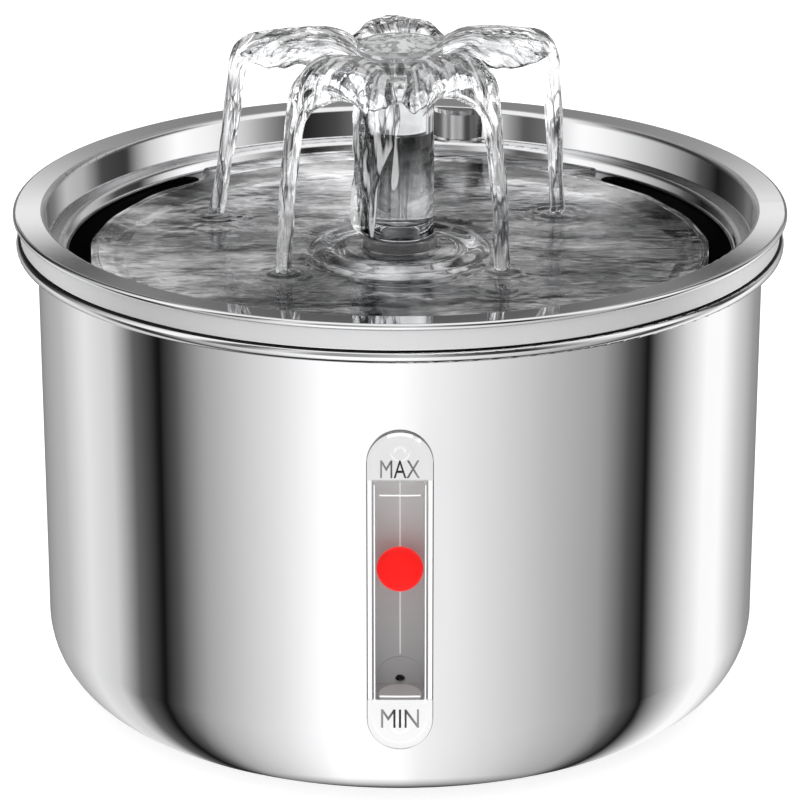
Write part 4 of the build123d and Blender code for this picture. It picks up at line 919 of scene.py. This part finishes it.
def skin(name, top, foot, first, last, thickness, columns=110, rows=150):
    """A closed skin of water on the riser between two headings, which thins out to its edges."""
    points, faces, inner = [], [], {}
    for j in range(rows + 1):
        v = j / rows
        for i in range(columns + 1):
            u = i / columns
            angle = first(v) + (last(v) - first(v)) * u
            z = top + (foot - top) * v
            fade = sqrt(max(0.0, 1 - abs(2 * u - 1) ** 5)) * sqrt(max(0.0, 1 - abs(2 * v - 1) ** 24))
            r = riser_skin + fade * thickness(angle, z)
            points.append((r * cos(radians(angle)), r * sin(radians(angle)), z))
    for j in range(rows + 1):
        for i in range(columns + 1):
            place = j * (columns + 1) + i
            inner[j, i] = place
            if 0 < i < columns and 0 < j < rows:
                x, y, z = points[place]
                angle = atan2(y, x)
                inner[j, i] = len(points)
                points.append((riser_skin * cos(angle), riser_skin * sin(angle), z))
    for j in range(rows):
        for i in range(columns):
            corners = [(j, i), (j, i + 1), (j + 1, i + 1), (j + 1, i)]
            a, b, c, d = (row * (columns + 1) + n for row, n in corners)
            faces.append((a, d, c, b))
            back = tuple(inner[corner] for corner in corners)
            if set(back) != {a, b, c, d}:
                faces.append(back)
    return piece(name, points, faces, "film", "riser")


def film_depth(angle, z):
    """Thickness of the running film: a heavy rope on the left and a thin winding one beside it."""
    lump = noise.noise(Vector((angle / 16, z / 9, 0.4)))
    off_rope = angle - rope_heading - 3 * sin(z / 5.5)
    off_thread = angle - thread_heading - 11 * sin(z / 7.5)
    rope = rope_depth * exp(-(off_rope / rope_width) ** 2) * (1 + 0.30 * lump)
    thread = thread_depth * exp(-(off_thread / thread_width) ** 2)
    wrinkles = 0.35 * noise.noise(Vector((angle / 9, z / 5, 5.2)))
    fine_wrinkles = 0.22 * noise.noise(Vector((angle / 4, z / 2.6, 8.8)))
    return film_least + rope + thread + (wrinkles + fine_wrinkles)


def drip_depth(angle, z):
    """Thickness of the drip, which has its bead near its foot."""
    return 0.7 + 0.5 * exp(-((z - 140.5) / 2.2) ** 2)


def drip_side(side):
    """Heading of the drip's left (-1) or right (1) side, from its top to its round foot."""
    return lambda v: film_end - 8 * v + side * drip_half * sqrt(1 - v**8)


# water inside the riser, which wets the bore
turned("riser_column", [(0, 127.2), (6.9, 127.25), (7.05, 127.6), (7.05, 151.2), (6.7, 151.7), (0, 151.8)],
       "column", "riser")
skin("riser_film", 160.6, 124.0, lambda v: film_start + 7 * sin(9 * v),
     lambda v: film_end - 52 * v * v * (3 - 2 * v) + 5 * sin(9 * v), film_depth)
skin("riser_drip", 152.0, 137.5, drip_side(-1), drip_side(1), drip_depth, columns=24, rows=60)


# ---------------------------------------------------------------- level marks on the window
upper_middle, lower_middle = 93.4, 27.6
letter_front, letter_back = -0.10, 0.05
line_thickness, line_steps = 0.08, 6
channel_line_depth = 13.77


def on_lens(x, z, depth=0.0):
    """Point on the window's curved face, or a little behind it."""
    radius = lens_front - depth
    return (x, -sqrt(radius * radius - x * x), z)


def mark(name, words, middle, width, height):
    """Raised foil letters that follow the curve of the window."""
    curve = bpy.data.curves.new(name, "FONT")
    curve.body = words
    curve.size = 1.0
    curve.extrude = 0.5
    made = new_object(name, curve)
    mesh = real_mesh(made)
    bpy.data.objects.remove(made)
    bpy.data.curves.remove(curve)
    low = [min(v.co[n] for v in mesh.vertices) for n in (0, 1)]
    high = [max(v.co[n] for v in mesh.vertices) for n in (0, 1)]
    points = []
    for v in mesh.vertices:
        x = ((v.co.x - low[0]) / (high[0] - low[0]) - 0.5) * width
        z = middle + ((v.co.y - low[1]) / (high[1] - low[1]) - 0.5) * height
        points.append(on_lens(x, z, letter_front if v.co.z > 0 else letter_back))
    faces = [tuple(f.vertices) for f in mesh.polygons]
    bpy.data.meshes.remove(mesh)
    return piece(name, points, faces, "foil", "bowl_unit", smooth=False)


mark("upper_mark", "MAX", upper_middle, 9.6, 4.6)
mark("lower_mark", "MIN", lower_middle, 9.4, 4.9)


def strip(x0, x1, z0, z1, depth=0.0):
    """Points and faces of a thin painted line on the window or behind its pane."""
    points, faces = [], []
    for j in range(line_steps + 1):
        x = x0 + (x1 - x0) * j / line_steps
        points += [on_lens(x, z, d) for z in (z0, z1) for d in (depth, depth - line_thickness)]
    for j in range(line_steps):
        a, b = 4 * j, 4 * (j + 1)
        faces += [(a, a + 2, b + 2, b), (a + 1, b + 1, b + 3, a + 3), (a, b, b + 1, a + 1),
                  (a + 2, a + 3, b + 3, b + 2)]
    end = 4 * line_steps
    faces += [(0, 1, 3, 2), (end, end + 2, end + 3, end + 1)]
    return points, faces


def strips(name, spans, look):
    """A piece of such lines, each from (least x, greatest x, least z, greatest z) and a depth."""
    points, faces = [], []
    for span in spans:
        line_points, line_faces = strip(*span)
        faces += [tuple(n + len(points) for n in face) for face in line_faces]
        points += line_points
    return piece(name, points, faces, look, "bowl_unit", smooth=False)


strips("window_lines", [
    (-6.40, -6.12, 31.9, 89.2), (6.12, 6.40, 31.9, 89.2),
    (-5.0, 5.0, 86.4, 86.75), (-5.0, 5.0, 33.35, 33.75),
], "line")
strips("channel_line", [(-0.1, 0.12, 39.6, 88.0, channel_line_depth)], "thread")


# ---------------------------------------------------------------- floor, world and camera
floor_mesh = bpy.data.meshes.new("studio_floor")
floor_mesh.from_pydata([(-4, -4, 0), (4, -4, 0), (4, 6, 0), (-4, 6, 0)], [], [(0, 1, 2, 3)])
floor = new_object("studio_floor", floor_mesh)
floor.visible_glossy = False
pale = Finish("pale_floor", Roughness=0.9, Base_Color=(0.8, 0.8, 0.8, 1))
path = pale.add("ShaderNodeLightPath")
seen = pale.most(path.outputs["Is Camera Ray"], path.outputs["Is Transmission Ray"])
glow = pale.add("ShaderNodeEmission", {"Strength": 0.62})
both = pale.add("ShaderNodeAddShader", {0: pale.shader.outputs[0], 1: glow.outputs[0]})
choice = pale.add("ShaderNodeMixShader", {0: seen, 1: pale.shader.outputs[0], 2: both.outputs[0]})
pale.tree.links.new(choice.outputs[0], pale.tree.nodes["Material Output"].inputs[0])
floor_mesh.materials.append(pale.material)

studio = bpy.data.worlds.new("soft_studio")
bpy.context.scene.world = studio
studio.use_nodes = True


class Surround(Finish):
    """The studio all round: its node tree and the direction of a ray."""

    def __init__(self, world):
        Nodes.__init__(self, world.node_tree)
        self.shader = self.tree.nodes["Background"]
        self.place = self.add("ShaderNodeTexCoord").outputs["Generated"]


s = Surround(studio)
dx, dy, dz = s.add("ShaderNodeSeparateXYZ", {"Vector": s.place}).outputs
bearing = s.math("ARCTAN2", dx, s.times(dy, -1.0))
round_share = s.plus(s.over(bearing, 2 * pi), 0.5)


def all_round(stops):
    """Ramp of a round of lights, from tables of bearing in degrees and brightness."""
    return ramp(s, round_share, [((bearing + 180) / 360, tone) for bearing, tone in stops])


# soft boxes and flags that the bowl's wall shows: bearing from the front towards the right, brightness
lower = all_round([
    (-170, 0.25), (-137, 0.56), (-119, 0.92), (-104, 0.74), (-93, 0.14), (-82, 0.002), (-75, 0.10),
    (-64, 0.44), (-51, 0.68), (-38, 0.92), (-24, 1.22), (0, 1.22), (9, 1.05), (18, 0.95), (32, 0.78),
    (48, 0.58), (66, 0.40), (77, 0.10), (85, 0.002), (92, 0.32), (103, 0.80), (114, 1.15), (124, 1.15),
    (136, 0.75), (154, 0.36), (170, 0.25),
])
# soft boxes and flags above the horizon, which the tray's upright walls show
upper = all_round([
    (-172, 0.30), (-156, 0.14), (-144, 0.05), (-132, 0.01), (-120, 0.10), (-108, 0.42), (-96, 0.70),
    (-84, 1.0), (-70, 1.2), (-63, 0.95), (-58, 0.20), (-48, 0.10), (-42, 0.40), (-35, 0.90), (-24, 0.32),
    (-10, 0.40), (4, 0.60), (16, 0.19), (25, 0.07), (38.4, 0.01), (46, 0.20), (52, 0.36), (60, 0.72),
    (72, 1.05), (86, 1.2), (97, 0.75), (107, 0.04), (120, 0.08), (132, 0.5), (144, 0.6), (156, 0.16),
    (168, 0.06),
])
height = s.math("ARCSINE", dz)
# the wall behind, which the flange and the pool show, by height in degrees: bright band at middle height
wall_tones = [
    (0, 0.10), (5, 0.30), (8, 0.12), (11, 0.30), (13, 0.35), (14.4, 0.10), (14.9, 0.10), (15.1, 0.22),
    (15.4, 0.26), (15.6, 0.22), (15.85, 0.05), (16.1, 0.15), (16.5, 0.72), (17.0, 1.04), (17.5, 0.78),
    (18.0, 0.55), (18.4, 0.36), (19.0, 0.27), (20, 0.25), (22, 0.45), (24, 0.16), (27, 0.5), (31, 0.14),
    (36, 0.55), (42, 0.2), (50, 0.7), (60, 0.9),
]
wall_top = wall_tones[-1][0]
up_the_wall = s.between(height, 0.0, 1.0, 0.0, radians(wall_top))
back_wall = ramp(s, up_the_wall, [(a / wall_top, tone) for a, tone in wall_tones])
off_front = s.unsigned(bearing)
is_back = s.between(off_front, 0.0, 1.0, radians(152), radians(166))
above = s.between(height, 0.0, 1.0, radians(-4), radians(4))
overhead = s.between(height, 0.0, 1.0, radians(52), radians(62))


def colour_mix(factor, a, b):
    """Mix of one light and another, or a plain brightness."""
    return s.tint(factor, a, b if isinstance(b, bpy.types.NodeSocket) else (b, b, b))


under_light, top_light, even_light = 0.04, 1.05, 0.95
raised = colour_mix(is_back, upper, back_wall)
straight_down = s.between(height, 0.0, 1.0, radians(-54), radians(-68))
sides = colour_mix(above, colour_mix(straight_down, lower, under_light), raised)
full = colour_mix(overhead, sides, top_light)
rays = s.add("ShaderNodeLightPath").outputs
behind = s.math("GREATER_THAN", off_front, radians(120))
straight = s.times(rays["Is Transmission Ray"], s.math("LESS_THAN", rays["Glossy Depth"], 0.5))
clear_view = s.times(s.between(behind, 0.4, 1.0), straight)
seen_through = colour_mix(clear_view, full, 1.0)
plain = colour_mix(rays["Is Diffuse Ray"], seen_through, even_light)
final = colour_mix(rays["Is Camera Ray"], plain, 1.0)
s.feed("Color", final)

view = bpy.data.cameras.new("front_camera")
view.lens = 203.92
view.sensor_width = 36.0
view.shift_y = 0.0782
view.clip_start = 0.05
view.clip_end = 30.0
camera = new_object("front_camera", view)
camera.location = (0.0, -1.1233, 0.476)
camera.rotation_euler = (radians(69.68), 0.0, 0.0)
bpy.context.scene.camera = camera
bpy.context.scene.view_settings.view_transform = "Standard"
